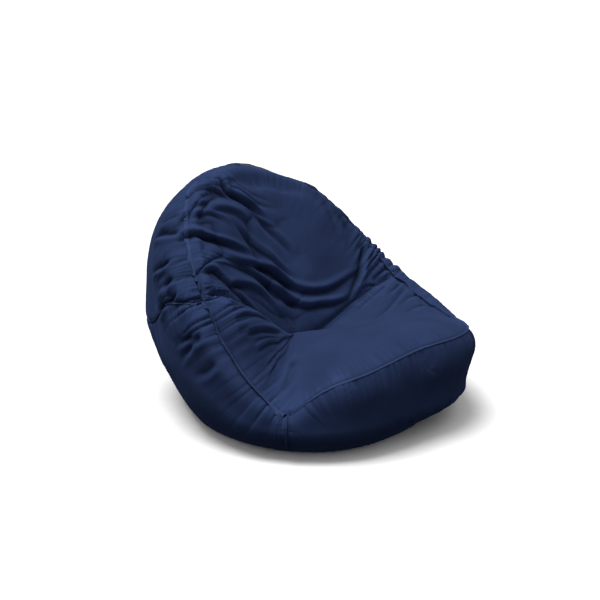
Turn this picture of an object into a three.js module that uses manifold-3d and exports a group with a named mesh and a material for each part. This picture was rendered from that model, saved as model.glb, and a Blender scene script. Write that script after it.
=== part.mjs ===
// Bean bag chair: a sewn fabric cover of eight panels, an inner liner, a bead fill and two zips.
// Millimetres, +Z up. The seat faces -Y, and left and right are as seen from the front (left is -X).
import * as THREE from 'three';
import Module from 'manifold-3d';
import { mergeVertices } from 'three/addons/utils/BufferGeometryUtils.js';

const wasm = await Module();
wasm.setup();

// ---- driving dimensions ----

// The body is a ring of outlines, one each 30 degrees round the lowest point of the seat, counted
// from +X over the rear (+Y), the left (-X) and the front (-Y). The bag has slumped, so left and
// right differ. Rim radius, rim height, slope at the rim in degrees, belly radius, belly height,
// base radius.
const OUTLINE_STEP = 30;
const OUTLINES = [
  [425, 325, 0, 497, 145, 325],
  [345, 560, -8, 480, 240, 335],
  [318, 655, -8, 484, 280, 346],
  [268, 692, -2, 484, 284, 347],
  [245, 690, -25, 457, 305, 305],
  [308, 655, -32, 405, 288, 285],
  [367, 448, -11, 420, 208, 282],
  [410, 229, -25, 438, 106, 295],
  [450, 252, -30, 460, 100, 322],
  [450, 292, -28, 452, 120, 322],
  [490, 284, -20, 488, 105, 308],
  [462, 258, -17, 503, 132, 315],
];
const SEAT_LOW = 200; // height of the lowest point of the seat, at the middle of the ring
const BACK_STEEPNESS = 0.55; // how steeply the back-rest comes down to the crease
const SEAT_RISE = 0.1; // how gently the seat leaves the crease
const CORNER_DIP = 79; // how far the rim is drawn down at the front left corner
const CORNER_DIP_TURN = 9; // degrees
const FRONT_FOLD = 40; // degrees that the cloth folds over the front seam
const OFFSET_X = -30.3; // from the middle of the ring to the middle of the chair's box
const OFFSET_Y = 1.7;

// Seams, as angles round the ring.
const CREASE_LEFT = 184; // where the back-rest, seat and side panels meet
const CREASE_RIGHT = 0;
const CORNER_LEFT = 221; // front corners, where the seat, front and side panels meet
const CORNER_RIGHT = 304;
const REAR = 90;
const SPLIT_HEIGHT = 272; // height of the wing's seam round the rear
const SPLIT_TURN = 50; // degrees in which that seam comes down from the crease

const FABRIC = 2; // cover fabric with its backing
const GAP = 0.3; // between pieces that touch
const SEAM_HEIGHT = 7; // turned seam allowance that stands up as a ridge
const SEAM_WIDTH = 2.6;

const LINER_DEPTH = 12.5; // liner and beads, measured in from the cover's face
const LINER = 1.2;
const FILL_DEPTH = 15.5;

// The rear zip is straight and lies in a flat, slightly leaning strip of the rear.
const ZIP_LOW = new THREE.Vector3(0, 462, 200);
const ZIP_HIGH = new THREE.Vector3(0, 426, 545);
const ZIP_BLEND = 6; // how softly the flat strip runs into the round of the rear
const ZIP_MOUTH = 6.5; // half the width between the cover's two edges beside the zip
const TAPE_WIDTH = 15;
const TAPE = 0.8;
const TAPE_DEPTH = 2.4; // face of the tape below the face of the cover
const TOOTH_PITCH = 9;
const TOOTH_WIDTH = 2.2;
const SLIDER_LENGTH = 13;
const PULL_LENGTH = 30;

const LABEL_ANGLE = 74;

// ---- materials ----

const cloth = (color) => new THREE.MeshStandardMaterial({ color, roughness: 0.95, metalness: 0 });
const navy = cloth(0x2a3858);
const navyDark = cloth(0x1f2b47);
const linerWhite = cloth(0xd8d6cf);
const labelWhite = cloth(0xe6e4de);
const beads = new THREE.MeshStandardMaterial({ color: 0xf2f2ee, roughness: 0.7, metalness: 0 });
const zipPlastic = new THREE.MeshStandardMaterial({ color: 0x141b2e, roughness: 0.45, metalness: 0 });
const zipMetal = new THREE.MeshStandardMaterial({ color: 0x3a3d44, roughness: 0.35, metalness: 0.9 });

const chair = new THREE.Group();
chair.position.set(OFFSET_X, OFFSET_Y, 0);

function add(name, geometry, material, parent = chair) {
  const mesh = new THREE.Mesh(geometry, material);
  mesh.name = name;
  parent.add(mesh);
  return mesh;
}

// ---- the surface of the body ----

const radians = THREE.MathUtils.degToRad;

// The outline at any angle, by a smooth curve through the neighbouring outlines.
function outline(angle) {
  const count = OUTLINES.length;
  const at = (((angle % 360) + 360) % 360) / OUTLINE_STEP;
  const i = Math.floor(at);
  const f = at - i;
  const row = (k) => OUTLINES[(i + k + count) % count];
  const values = row(0).map((b, n) => {
    const [a, c, d] = [row(-1)[n], row(1)[n], row(2)[n]];
    return b + 0.5 * f * (c - a + f * (2 * a - 5 * b + 4 * c - d + f * (3 * (b - c) + d - a)));
  });
  const fromCorner = Math.hypot(at * OUTLINE_STEP - CORNER_LEFT, 2) - 2;
  values[1] -= CORNER_DIP * Math.exp(-fromCorner / CORNER_DIP_TURN);
  return values;
}

const bezier = (a, b, c, d, t) =>
  (1 - t) ** 3 * a + 3 * (1 - t) ** 2 * t * b + 3 * (1 - t) * t * t * c + t ** 3 * d;

function softMin(a, b, k) {
  const h = Math.max(k - Math.abs(a - b), 0) / k;
  return Math.min(a, b) - (h * h * k) / 4;
}

// How far out the flat strip of the rear zip lies, in the direction of angle at height z.
function rearLimit(angle, z) {
  const lean = (ZIP_HIGH.y - ZIP_LOW.y) / (ZIP_HIGH.z - ZIP_LOW.z);
  const y = ZIP_LOW.y + (z - ZIP_LOW.z) * lean;
  const s = Math.sin(radians(angle));
  return s > 0.2 ? y / s : Infinity;
}

// The outer wall: down is 0 at the rim, 0.5 at the belly and 1 where the wall meets the base.
function wallPoint(angle, down) {
  const [rimR, rimZ, slope, bellyR, bellyZ, baseR] = outline(angle);
  const reach = 0.45 * Math.hypot(bellyR - rimR, rimZ - bellyZ);
  const tilt = radians(slope - FRONT_FOLD * Math.max(-Math.sin(radians(angle)), 0));
  let r, z;
  if (down <= 0.5) {
    const t = down * 2;
    r = bezier(rimR, rimR + reach * Math.cos(tilt), bellyR, bellyR, t);
    z = bezier(rimZ, rimZ + reach * Math.sin(tilt), (rimZ + bellyZ) / 2, bellyZ, t);
  } else {
    const t = down * 2 - 1;
    r = bezier(bellyR, bellyR, baseR + 0.45 * (bellyR - baseR), baseR, t);
    z = bezier(bellyZ, bellyZ / 2, 0, 0, t);
  }
  r = softMin(r, rearLimit(angle, z), ZIP_BLEND);
  return new THREE.Vector3(r * Math.cos(radians(angle)), r * Math.sin(radians(angle)), z);
}

// The top, seat and back-rest together, is a height over the floor plan inside the rim.
function topPoint(x, y) {
  const angle = THREE.MathUtils.radToDeg(Math.atan2(y, x));
  const [rimR, rimZ, slope] = outline(angle);
  const t = 1 - Math.hypot(x, y) / rimR; // 0 at the rim, 1 at the lowest point
  const rear = Math.sin(radians(angle));
  const start = -Math.tan(radians(slope)) * rimR;
  const end = rear > 0 ? -BACK_STEEPNESS * 1000 * rear : SEAT_RISE * 1000 * rear;
  const z =
    (1 - 3 * t * t + 2 * t ** 3) * rimZ +
    (t - 2 * t * t + t ** 3) * start +
    (3 * t * t - 2 * t ** 3) * SEAT_LOW +
    (t ** 3 - t * t) * end;
  return new THREE.Vector3(x, y, z);
}

// A sample is a point of the surface with its outward normal, from two short steps along it.
function sample(point, stepA, stepB, outward) {
  const normal = stepA.clone().sub(point).cross(stepB.clone().sub(point)).normalize();
  if (normal.dot(outward) < 0) normal.negate();
  return { point, normal };
}

function wallSample(angle, down) {
  const near = down > 0.99 ? down - 0.002 : down + 0.002;
  const point = wallPoint(angle, down);
  const outward = new THREE.Vector3(point.x, point.y, 100 - 400 * down);
  const around = wallPoint(angle + 0.2, down).sub(wallPoint(angle - 0.2, down)).add(point);
  return sample(point, around, wallPoint(angle, near), outward);
}

function topSample(x, y) {
  const inward = 1 - 2 / Math.max(Math.hypot(x, y), 4);
  const [a, b] = [x * inward, y * inward];
  const point = topPoint(x, y);
  return sample(point, topPoint(a, b), topPoint(a - b * 0.01, b + a * 0.01), new THREE.Vector3(0, 0, 1));
}

// The rim is an edge between top and wall: its normal is halfway between theirs.
function rimSample(angle) {
  const { point, normal } = wallSample(angle, 0);
  return { point, normal: normal.add(topSample(point.x, point.y).normal).normalize() };
}

// ---- building closed bodies ----

// A closed geometry from points and triangles, turned so that its faces point out.
function solid(points, triangles) {
  const positions = points.flatMap((p) => [p.x, p.y, p.z]);
  let volume = 0;
  for (const [a, b, c] of triangles) {
    volume += points[a].dot(points[b].clone().cross(points[c]));
  }
  const index = triangles.flatMap(([a, b, c]) => (volume > 0 ? [a, b, c] : [a, c, b]));
  const geometry = new THREE.BufferGeometry();
  geometry.setAttribute('position', new THREE.Float32BufferAttribute(positions, 3));
  geometry.setIndex(index);
  geometry.computeVertexNormals();
  return geometry;
}

const quad = (a, b, c, d) => [
  [a, b, c],
  [a, c, d],
];

// A sheet of cloth over a grid of samples, with its face `depth` below the body's surface. Its
// edges stand back by half a gap, so that two panels that share a seam don't touch.
function sheetSolid(samples, thickness, depth = 0) {
  const columns = samples.length;
  const rows = samples[0].length;
  const at = (i, j) => samples[i][j].point;
  const edgeStep = (i, j) => {
    const shift = new THREE.Vector3();
    const towards = (k, l) => shift.add(at(k, l).clone().sub(at(i, j)).setLength(GAP));
    if (i === 0) towards(1, j);
    if (i === columns - 1) towards(i - 1, j);
    if (j === 0) towards(i, 1);
    if (j === rows - 1) towards(i, j - 1);
    return shift;
  };
  const points = [];
  for (const level of [depth, depth + thickness]) {
    samples.forEach((column, i) =>
      column.forEach(({ point, normal }, j) => {
        points.push(point.clone().addScaledVector(normal, -level).add(edgeStep(i, j)));
      }),
    );
  }
  const inner = columns * rows;
  const id = (i, j) => i * rows + j;
  const triangles = [];
  for (let i = 0; i < columns - 1; i++) {
    for (let j = 0; j < rows - 1; j++) {
      const cell = [id(i, j), id(i + 1, j), id(i + 1, j + 1), id(i, j + 1)];
      const [a, b, c, d] = cell.map((k) => k + inner);
      triangles.push(...quad(...cell), ...quad(a, d, c, b));
    }
  }
  const border = [];
  for (let i = 0; i < columns - 1; i++) border.push(id(i, 0));
  for (let j = 0; j < rows - 1; j++) border.push(id(columns - 1, j));
  for (let i = columns - 1; i > 0; i--) border.push(id(i, rows - 1));
  for (let j = rows - 1; j > 0; j--) border.push(id(0, j));
  border.forEach((a, k) => {
    const b = border[(k + 1) % border.length];
    triangles.push(...quad(a, a + inner, b + inner, b));
  });
  return solid(points, triangles);
}

// A strip that stands on a line of samples: `low` to `high` above the surface, `width` thick.
function ridgeSolid(line, low, high, width) {
  const points = [];
  line.forEach(({ point, normal }, i) => {
    const before = line[Math.max(i - 1, 0)].point;
    const after = line[Math.min(i + 1, line.length - 1)].point;
    const side = after.clone().sub(before).cross(normal).setLength(width / 2);
    for (const [height, across] of [[low, 1], [high, 0.6], [high, -0.6], [low, -1]]) {
      points.push(point.clone().addScaledVector(normal, height).addScaledVector(side, across));
    }
  });
  const triangles = [[0, 2, 1], [0, 3, 2]];
  for (let i = 0; i < line.length - 1; i++) {
    for (let k = 0; k < 4; k++) {
      const next = (k + 1) % 4;
      triangles.push(...quad(4 * i + k, 4 * i + next, 4 * i + 4 + next, 4 * i + 4 + k));
    }
  }
  const last = 4 * (line.length - 1);
  triangles.push([last, last + 1, last + 2], [last, last + 2, last + 3]);
  return solid(points, triangles);
}

// A body closed round the ring: rings of samples from one pole to the other.
function ringSolid(rings, depth, lowPole, highPole) {
  const around = rings[0].length;
  const points = rings.flat().map(({ point, normal }) => point.clone().addScaledVector(normal, -depth));
  const [low, high] = [points.push(lowPole) - 1, points.push(highPole) - 1];
  const triangles = [];
  for (let k = 0; k < around; k++) {
    const next = (k + 1) % around;
    const top = (rings.length - 1) * around;
    triangles.push([low, next, k], [high, top + k, top + next]);
    for (let j = 0; j < rings.length - 1; j++) {
      const [a, b] = [j * around, (j + 1) * around];
      triangles.push(...quad(a + k, a + next, b + next, b + k));
    }
  }
  return solid(points, triangles);
}

// Two overlapping closed geometries as one.
function joined(...geometries) {
  const solids = geometries.map((geometry) => {
    const bare = new THREE.BufferGeometry();
    bare.setAttribute('position', geometry.getAttribute('position'));
    bare.setIndex(geometry.getIndex());
    const merged = mergeVertices(bare);
    return new wasm.Manifold(
      new wasm.Mesh({
        numProp: 3,
        vertProperties: merged.getAttribute('position').array,
        triVerts: new Uint32Array(merged.getIndex().array),
      }),
    );
  });
  const { vertProperties, triVerts } = solids.reduce((a, b) => a.add(b)).getMesh();
  const geometry = new THREE.BufferGeometry();
  geometry.setAttribute('position', new THREE.Float32BufferAttribute(vertProperties, 3));
  geometry.setIndex(Array.from(triVerts));
  geometry.computeVertexNormals();
  return geometry;
}

// ---- seam lines ----

const steps = (from, to, count) =>
  Array.from({ length: count + 1 }, (_, i) => from + ((to - from) * i) / count);

// Angles of the samples between the seams: the panels on both sides of a seam share them.
// Towards the creases, where the rim is steep, they stand closer.
const fromCrease = (crease) => steps(0, 1, 16).map((t) => crease + (REAR - crease) * t ** 1.3);
const rearLeftAngles = fromCrease(CREASE_LEFT);
const rearRightAngles = fromCrease(CREASE_RIGHT).toReversed();
const sideLeftAngles = steps(CORNER_LEFT, CREASE_LEFT, 8);
const sideRightAngles = steps(CREASE_RIGHT, CORNER_RIGHT - 360, 10);
const frontAngles = steps(CORNER_LEFT, CORNER_RIGHT, 14);

// The seam between wing and side panel leaves the rim at the crease and comes down to the belly.
function splitDown(angle) {
  const [pastLeft, pastRight] = [CREASE_LEFT - angle, angle - CREASE_RIGHT];
  const start = wallPoint(pastLeft < pastRight ? CREASE_LEFT : CREASE_RIGHT, 0.02).z;
  const turned = THREE.MathUtils.smoothstep(Math.min(pastLeft, pastRight), 0, SPLIT_TURN);
  const height = start + (SPLIT_HEIGHT - start) * turned;
  let [above, below] = [0, 1];
  while (below - above > 1e-6) {
    const middle = (above + below) / 2;
    if (wallPoint(angle, middle).z > height) above = middle;
    else below = middle;
  }
  return above;
}

// The two cover edges at the rear seam run beside the zip, left (side 1) and right (side -1) of it.
function rearAngle(down, side) {
  return REAR + (side * 180 * Math.atan2(ZIP_MOUTH, wallPoint(REAR, down).y)) / Math.PI;
}

const rimLine = (angles) => angles.map(rimSample);
const wallLine = (angle, from, to, count) => steps(from, to, count).map((d) => wallSample(angle, d));

// The crease runs straight in plan from each side's rim to the lowest point.
function creaseSample(share) {
  const [angle, left] = share < 0.5 ? [CREASE_LEFT, 1 - 2 * share] : [CREASE_RIGHT, 2 * share - 1];
  const r = outline(angle)[0] * Math.max(left, 0.004) * 0.97;
  return topSample(r * Math.cos(radians(angle)), r * Math.sin(radians(angle)));
}

// ---- cover panels ----

const WALL_ROWS = 9; // from the rim to the floor

// A panel of the wall: columns at the given angles, rows between two shares of the way down.
function wallPanel(angles, top, bottom, rows, side = 0) {
  return angles.map((angle) =>
    steps(0, 1, rows).map((v) => {
      const down = top(angle) + (bottom(angle) - top(angle)) * v;
      if (angle === REAR) return wallSample(rearAngle(down, side), down);
      return down === 0 ? rimSample(angle) : wallSample(angle, down);
    }),
  );
}

// A panel of the top: columns from the crease out to the rim at the given angles.
function topPanel(angles, rows) {
  return angles.map((angle, i) => {
    const crease = creaseSample(i / (angles.length - 1)).point;
    const rim = wallPoint(angle, 0);
    return steps(0, 1, rows).map((v) => {
      const [x, y] = [crease.x + (rim.x - crease.x) * v, crease.y + (rim.y - crease.y) * v];
      return v === 1 ? rimSample(angle) : topSample(x, y);
    });
  });
}

function addCover() {
  const rim = () => 0;
  const floor = () => 1;
  const sideTop = (angle) =>
    angle <= CREASE_LEFT && angle >= CREASE_RIGHT ? splitDown(angle) : 0;
  const seatAngles = [
    ...sideLeftAngles.toReversed(),
    ...frontAngles.slice(1),
    ...sideRightAngles.toReversed().slice(1).map((angle) => angle + 360),
  ];
  const backAngles = [...rearLeftAngles, ...rearRightAngles.slice(1)];
  const leftAngles = [...sideLeftAngles, ...rearLeftAngles.slice(1)];
  const rightAngles = [...rearRightAngles, ...sideRightAngles.slice(1)];
  const panels = {
    back_rest_panel: topPanel(backAngles, 8),
    seat_panel: topPanel(seatAngles, 8),
    front_panel: wallPanel(frontAngles, rim, floor, WALL_ROWS),
    left_side_panel: wallPanel(leftAngles, sideTop, floor, WALL_ROWS, 1),
    right_side_panel: wallPanel(rightAngles, sideTop, floor, WALL_ROWS, -1),
    left_wing_panel: wallPanel(rearLeftAngles, rim, splitDown, 7, 1),
    right_wing_panel: wallPanel(rearRightAngles, rim, splitDown, 7, -1),
  };
  for (const [name, samples] of Object.entries(panels)) {
    add(name, sheetSolid(samples, FABRIC), navy);
  }
  addBasePanel([...seatAngles.slice(0, -1), ...backAngles.toReversed().slice(0, -1)]);
}

// The base is a flat sheet on the floor whose edge follows the lower end of the wall.
function addBasePanel(angles) {
  const edge = angles.map((angle) => {
    const { x, y } = wallPoint(angle, 1);
    const inset = 1 - 0.4 / Math.hypot(x, y);
    return new THREE.Vector2(x * inset, y * inset);
  });
  const geometry = new THREE.ExtrudeGeometry(new THREE.Shape(edge), { depth: FABRIC, bevelEnabled: false });
  add('base_panel', geometry, navyDark);
}

// ---- seam ridges ----

function addSeams() {
  const low = GAP + 0.1;
  const inside = -FABRIC - low - SEAM_HEIGHT / 2;
  const split = (angles) => angles.map((angle) => wallSample(angle, splitDown(angle)));
  const ridges = {
    top_edge_seam: rimLine([...rearLeftAngles.slice(1), ...rearRightAngles.slice(1, -1)]),
    left_seat_seam: rimLine(sideLeftAngles.slice(1, -1)),
    right_seat_seam: rimLine(sideRightAngles.slice(1, -1)),
    front_seam: rimLine(frontAngles.slice(1, -1)),
    left_corner_seam: wallLine(CORNER_LEFT, 0, 7 / WALL_ROWS, 7).slice(3),
    right_corner_seam: wallLine(CORNER_RIGHT, 0, 7 / WALL_ROWS, 7).slice(1),
    left_wing_seam: split(rearLeftAngles.slice(1, -1)),
    right_wing_seam: split(rearRightAngles.slice(1, -1)),
  };
  for (const [name, line] of Object.entries(ridges)) {
    add(name, ridgeSolid(line, low, low + SEAM_HEIGHT, SEAM_WIDTH), navyDark);
  }
  const crease = steps(0, 1, 32).slice(1, -1).map(creaseSample);
  add('seat_back_seam', ridgeSolid(crease, inside, -FABRIC - low, SEAM_WIDTH), navyDark);

  // Above and below the zip the two cover edges meet on a flat bound strip.
  const rearShare = (z) => steps(0, 1, 400).find((down) => wallPoint(REAR, down).z < z);
  const strips = {
    rear_upper_seam: wallLine(REAR, 0.03, rearShare(ZIP_HIGH.z + 14), 6),
    rear_lower_seam: wallLine(REAR, rearShare(ZIP_LOW.z - 14), 0.85, 6),
  };
  for (const [name, line] of Object.entries(strips)) {
    add(name, ridgeSolid(line, -FABRIC, 0.8, 2 * (ZIP_MOUTH - GAP) - 1), navyDark);
  }
}

// ---- inside: liner and fill ----

// Rows of samples from the foot of the wall up to the rim, then in over the top.
const wallRows = steps(1, 0, 14).map((down) => ({ down }));
const topRows = steps(0, 1, 12).slice(1, -1).map((t) => ({ t }));
const bodyRows = [...wallRows, ...topRows];

function bodySample(angle, { down, t }) {
  if (t === undefined) return down === 0 ? rimSample(angle) : wallSample(angle, down);
  const r = outline(angle)[0] * (1 - t);
  return topSample(r * Math.cos(radians(angle)), r * Math.sin(radians(angle)));
}

// Each half of the liner runs from the middle of the base, round the side, to the middle of the seat.
function addLiner() {
  const baseRow = (angle, share) => {
    const { x, y } = wallPoint(angle, 1);
    return { point: new THREE.Vector3(x * share, y * share, 0), normal: new THREE.Vector3(0, 0, -1) };
  };
  const halves = { liner_left_half: steps(REAR, REAR + 180, 18), liner_right_half: steps(-REAR, REAR, 18) };
  for (const [name, angles] of Object.entries(halves)) {
    const samples = angles.map((angle) => [
      baseRow(angle, 0.03),
      baseRow(angle, 0.5),
      ...bodyRows.map((row) => bodySample(angle, row)),
    ]);
    add(name, sheetSolid(samples, LINER, LINER_DEPTH), linerWhite);
  }
}

function addFill() {
  const angles = steps(REAR, REAR + 360, 36).slice(0, -1);
  const rings = bodyRows.map((row) => angles.map((angle) => bodySample(angle, row)));
  const lowPole = new THREE.Vector3(0, 0, FILL_DEPTH);
  const highPole = topPoint(0.01, 0).add(new THREE.Vector3(0, 0, -FILL_DEPTH));
  add('bead_fill', ringSolid(rings, FILL_DEPTH, lowPole, highPole), beads);
}

// ---- zips ----

// A group whose +Y runs up the zip and whose +Z points out of the cover.
function zipGroup(depth) {
  const along = ZIP_HIGH.clone().sub(ZIP_LOW).normalize();
  const across = new THREE.Vector3(-1, 0, 0);
  const out = across.clone().cross(along);
  const group = new THREE.Group();
  group.quaternion.setFromRotationMatrix(new THREE.Matrix4().makeBasis(across, along, out));
  group.position.copy(ZIP_LOW).addScaledVector(out, -depth);
  chair.add(group);
  return group;
}

const zipLength = ZIP_HIGH.distanceTo(ZIP_LOW);

function box(width, height, depth, x, y, z) {
  return new THREE.BoxGeometry(width, height, depth).translate(x, y, z);
}

// A row of teeth on its edge cord, as one comb; `side` is 1 or -1 and `shift` staggers the rows.
function teethRow(side, shift, thickness) {
  const [root, tip, edge] = [2.3, 0.5, 3];
  const outlinePoints = [new THREE.Vector2(edge, 0), new THREE.Vector2(edge, zipLength)];
  outlinePoints.push(new THREE.Vector2(root, zipLength));
  const count = Math.floor((zipLength - TOOTH_PITCH) / TOOTH_PITCH);
  for (let i = count; i >= 0; i--) {
    const y = i * TOOTH_PITCH + shift + 1;
    outlinePoints.push(new THREE.Vector2(root, y + TOOTH_WIDTH));
    outlinePoints.push(new THREE.Vector2(tip, y + TOOTH_WIDTH * 0.8));
    outlinePoints.push(new THREE.Vector2(tip, y - TOOTH_WIDTH * 0.2));
    outlinePoints.push(new THREE.Vector2(root, y - TOOTH_WIDTH * 0.4));
  }
  outlinePoints.push(new THREE.Vector2(root, 0));
  const shape = new THREE.Shape(outlinePoints.map((p) => new THREE.Vector2(p.x * side, p.y)));
  return new THREE.ExtrudeGeometry(shape, { depth: thickness, bevelEnabled: false });
}

// Slider seen along the zip: two plates on a web that runs between the rows of teeth.
function sliderGeometry(scale) {
  const [half, web, lip] = [4.8, 0.22, 0.5];
  const profile = [
    [half, 1.5], [half, 3.4], [-half, 3.4], [-half, 1.5], [-half + lip, 1.5], [-half + lip, 2],
    [-web, 2], [-web, -1], [-half + lip, -1], [-half + lip, -2.2], [half - lip, -2.2],
    [half - lip, -1], [web, -1], [web, 2], [half - lip, 2], [half - lip, 1.5],
  ];
  const shape = new THREE.Shape(profile.map(([x, z]) => new THREE.Vector2(x, z)));
  const body = new THREE.ExtrudeGeometry(shape, { depth: SLIDER_LENGTH * scale, bevelEnabled: false });
  body.rotateX(Math.PI / 2).translate(0, SLIDER_LENGTH * scale, 0);
  return body;
}

const BRIDGE_Y = SLIDER_LENGTH / 2;
const PULL_HEIGHT = 1.5; // axis of the pull above the slider's face
const SLIDER_FACE = 3.4;

// A half ring over the slider, in which the pull hangs.
function bridgeGeometry() {
  const arch = new THREE.Shape().absarc(0, 0, 3.8, 0, Math.PI).absarc(0, 0, 2.7, Math.PI, 0, true);
  const geometry = new THREE.ExtrudeGeometry(arch, { depth: 2, bevelEnabled: false, curveSegments: 8 });
  geometry.translate(0, 0, -1).rotateX(Math.PI / 2).rotateZ(Math.PI / 2);
  return geometry.translate(0, BRIDGE_Y, SLIDER_FACE - 0.4);
}

function pullGeometry() {
  const half = 3.6;
  const plate = new THREE.Shape();
  plate.moveTo(-2.4, 0.55).lineTo(-half, -6).lineTo(-half, 3 - PULL_LENGTH);
  plate.absarc(0, 3 - PULL_LENGTH, half, Math.PI, 2 * Math.PI);
  plate.lineTo(half, -6).lineTo(2.4, 0.55);
  plate.holes.push(new THREE.Path().moveTo(-1.5, -0.65).lineTo(1.5, -0.65).lineTo(1.5, -5).lineTo(-1.5, -5));
  const geometry = new THREE.ExtrudeGeometry(plate, { depth: 1, bevelEnabled: false, curveSegments: 6 });
  return geometry.translate(0, BRIDGE_Y, SLIDER_FACE - 0.5 + PULL_HEIGHT);
}

function addCoverZip() {
  const zip = zipGroup(TAPE_DEPTH + TAPE / 2);
  const teeth = 2.2;
  for (const [word, side, shift] of [['left', 1, 0], ['right', -1, TOOTH_PITCH / 2]]) {
    const tape = box(TAPE_WIDTH, zipLength + 8, TAPE, side * (TAPE_WIDTH / 2 + 3.3), zipLength / 2, 0);
    add(`zip_${word}_tape`, tape, navyDark, zip);
    add(`zip_${word}_teeth`, teethRow(side, shift, teeth).translate(0, 0, -teeth / 2), zipPlastic, zip);
  }
  add('zip_top_stop', box(6, 3, 2.2, 0, zipLength + 2, 0), zipMetal, zip);
  add('zip_bottom_stop', box(6, 3, 2.2, 0, -2, 0), zipMetal, zip);
  const slider = joined(sliderGeometry(1), bridgeGeometry());
  add('zip_slider', slider.translate(0, 6, -0.6), zipMetal, zip);
  add('zip_pull', pullGeometry().translate(0, 6, -0.6), zipMetal, zip);
}

function addLinerZip() {
  const zip = zipGroup(LINER_DEPTH - GAP - TAPE / 2);
  const length = zipLength * 0.9;
  const middle = zipLength / 2;
  add('liner_zip_tape', box(24, length, TAPE, 0, middle, 0), linerWhite, zip);
  add('liner_zip_coil', box(5, length - 16, 1.4, 0, middle, TAPE / 2 + 0.7 + GAP), labelWhite, zip);
  const slider = box(8, 10, 1.6, 0, middle - length / 2 + 16, TAPE / 2 + 2 + GAP * 2 + 0.4);
  add('liner_zip_slider', slider, zipMetal, zip);
}

// ---- handle and label ----

// A strap sewn down at both ends behind the top edge, standing a little proud between them.
function addHandle() {
  const [from, to, rise] = [88, 55, 17];
  const samples = steps(from, to, 16).map((angle, i) => {
    const lift = 0.6 + rise * Math.sin((Math.PI * i) / 16) ** 0.7;
    return [0.02, 0.05, 0.08].map((down) => {
      const { point, normal } = wallSample(angle, down);
      return { point: point.clone().addScaledVector(normal, lift + FABRIC), normal };
    });
  });
  add('carry_handle', sheetSolid(samples, FABRIC), navyDark);
}

function addLabel() {
  const samples = steps(LABEL_ANGLE, LABEL_ANGLE + 4, 2).map((angle) =>
    steps(0.66, 0.74, 3).map((down) => {
      const { point, normal } = wallSample(angle, down);
      return { point: point.clone().addScaledVector(normal, 1.4), normal };
    }),
  );
  add('care_label', sheetSolid(samples, 0.6), labelWhite);
}

addCover();
addSeams();
addLiner();
addFill();
addCoverZip();
addLinerZip();
addHandle();
addLabel();

export default chair;
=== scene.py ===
"""Bean bag chair: the sewn cover, its seams, folds and zip, and the liner and beads inside it.

Metres, +Z up. The seat faces -Y, and left and right are as seen from the front (left is -X).
"""

import math

import bpy
import numpy as np
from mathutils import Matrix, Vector


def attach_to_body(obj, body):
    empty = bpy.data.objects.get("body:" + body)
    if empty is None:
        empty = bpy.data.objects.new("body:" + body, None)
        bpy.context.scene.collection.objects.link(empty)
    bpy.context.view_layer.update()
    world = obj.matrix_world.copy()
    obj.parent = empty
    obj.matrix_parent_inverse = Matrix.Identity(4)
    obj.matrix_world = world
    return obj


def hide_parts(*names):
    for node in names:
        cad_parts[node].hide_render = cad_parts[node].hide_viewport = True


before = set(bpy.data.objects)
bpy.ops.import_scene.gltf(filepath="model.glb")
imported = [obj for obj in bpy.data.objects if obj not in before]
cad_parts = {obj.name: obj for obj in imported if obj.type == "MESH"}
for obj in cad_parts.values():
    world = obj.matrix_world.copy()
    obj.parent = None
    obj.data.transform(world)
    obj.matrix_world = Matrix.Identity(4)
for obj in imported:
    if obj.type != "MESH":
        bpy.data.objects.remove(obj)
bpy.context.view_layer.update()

# ---- the body: one outline each 30 degrees round the lowest point of the seat ----

# Counted from +X over the rear, the left and the front: rim radius, rim height, slope at the rim
# in degrees, belly radius, belly height, base radius.
OUTLINE_STEP = 30
OUTLINES = np.array(
    [
        [0.425, 0.325, 0, 0.497, 0.145, 0.325],
        [0.345, 0.560, -8, 0.480, 0.240, 0.335],
        [0.318, 0.655, -8, 0.484, 0.280, 0.346],
        [0.268, 0.692, -2, 0.484, 0.284, 0.347],
        [0.245, 0.690, -25, 0.457, 0.305, 0.305],
        [0.308, 0.655, -32, 0.405, 0.288, 0.285],
        [0.367, 0.448, -11, 0.420, 0.208, 0.282],
        [0.410, 0.229, -25, 0.438, 0.106, 0.295],
        [0.450, 0.252, -30, 0.460, 0.100, 0.322],
        [0.450, 0.292, -28, 0.452, 0.120, 0.322],
        [0.490, 0.284, -20, 0.488, 0.105, 0.308],
        [0.462, 0.258, -17, 0.503, 0.132, 0.315],
    ]
)
SEAT_LOW = 0.2
BACK_STEEPNESS = 0.55
SEAT_RISE = 0.1
CORNER_DIP, CORNER_DIP_TURN = 0.079, 9  # the rim is drawn down at the front left corner
CORNER_TIP = 2  # degrees over which the tip of that dip is rounded
CONTROL_REACH = 0.45  # how far the control points of an outline reach towards the next point
FRONT_FOLD = 40  # degrees that the cloth folds over the front seam
OFFSET = np.array([-0.0303, 0.0017, 0.0])  # from the middle of the ring to the middle of the chair

CREASE_LEFT, CREASE_RIGHT = 184, 0  # seams, as angles round the ring
CORNER_LEFT, CORNER_RIGHT = 221, 304
REAR = 90
# The seam between wing and side starts just under the rim and comes down to its height in a turn.
SPLIT_START, SPLIT_HEIGHT, SPLIT_TURN = 0.02, 0.272, 50

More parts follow.
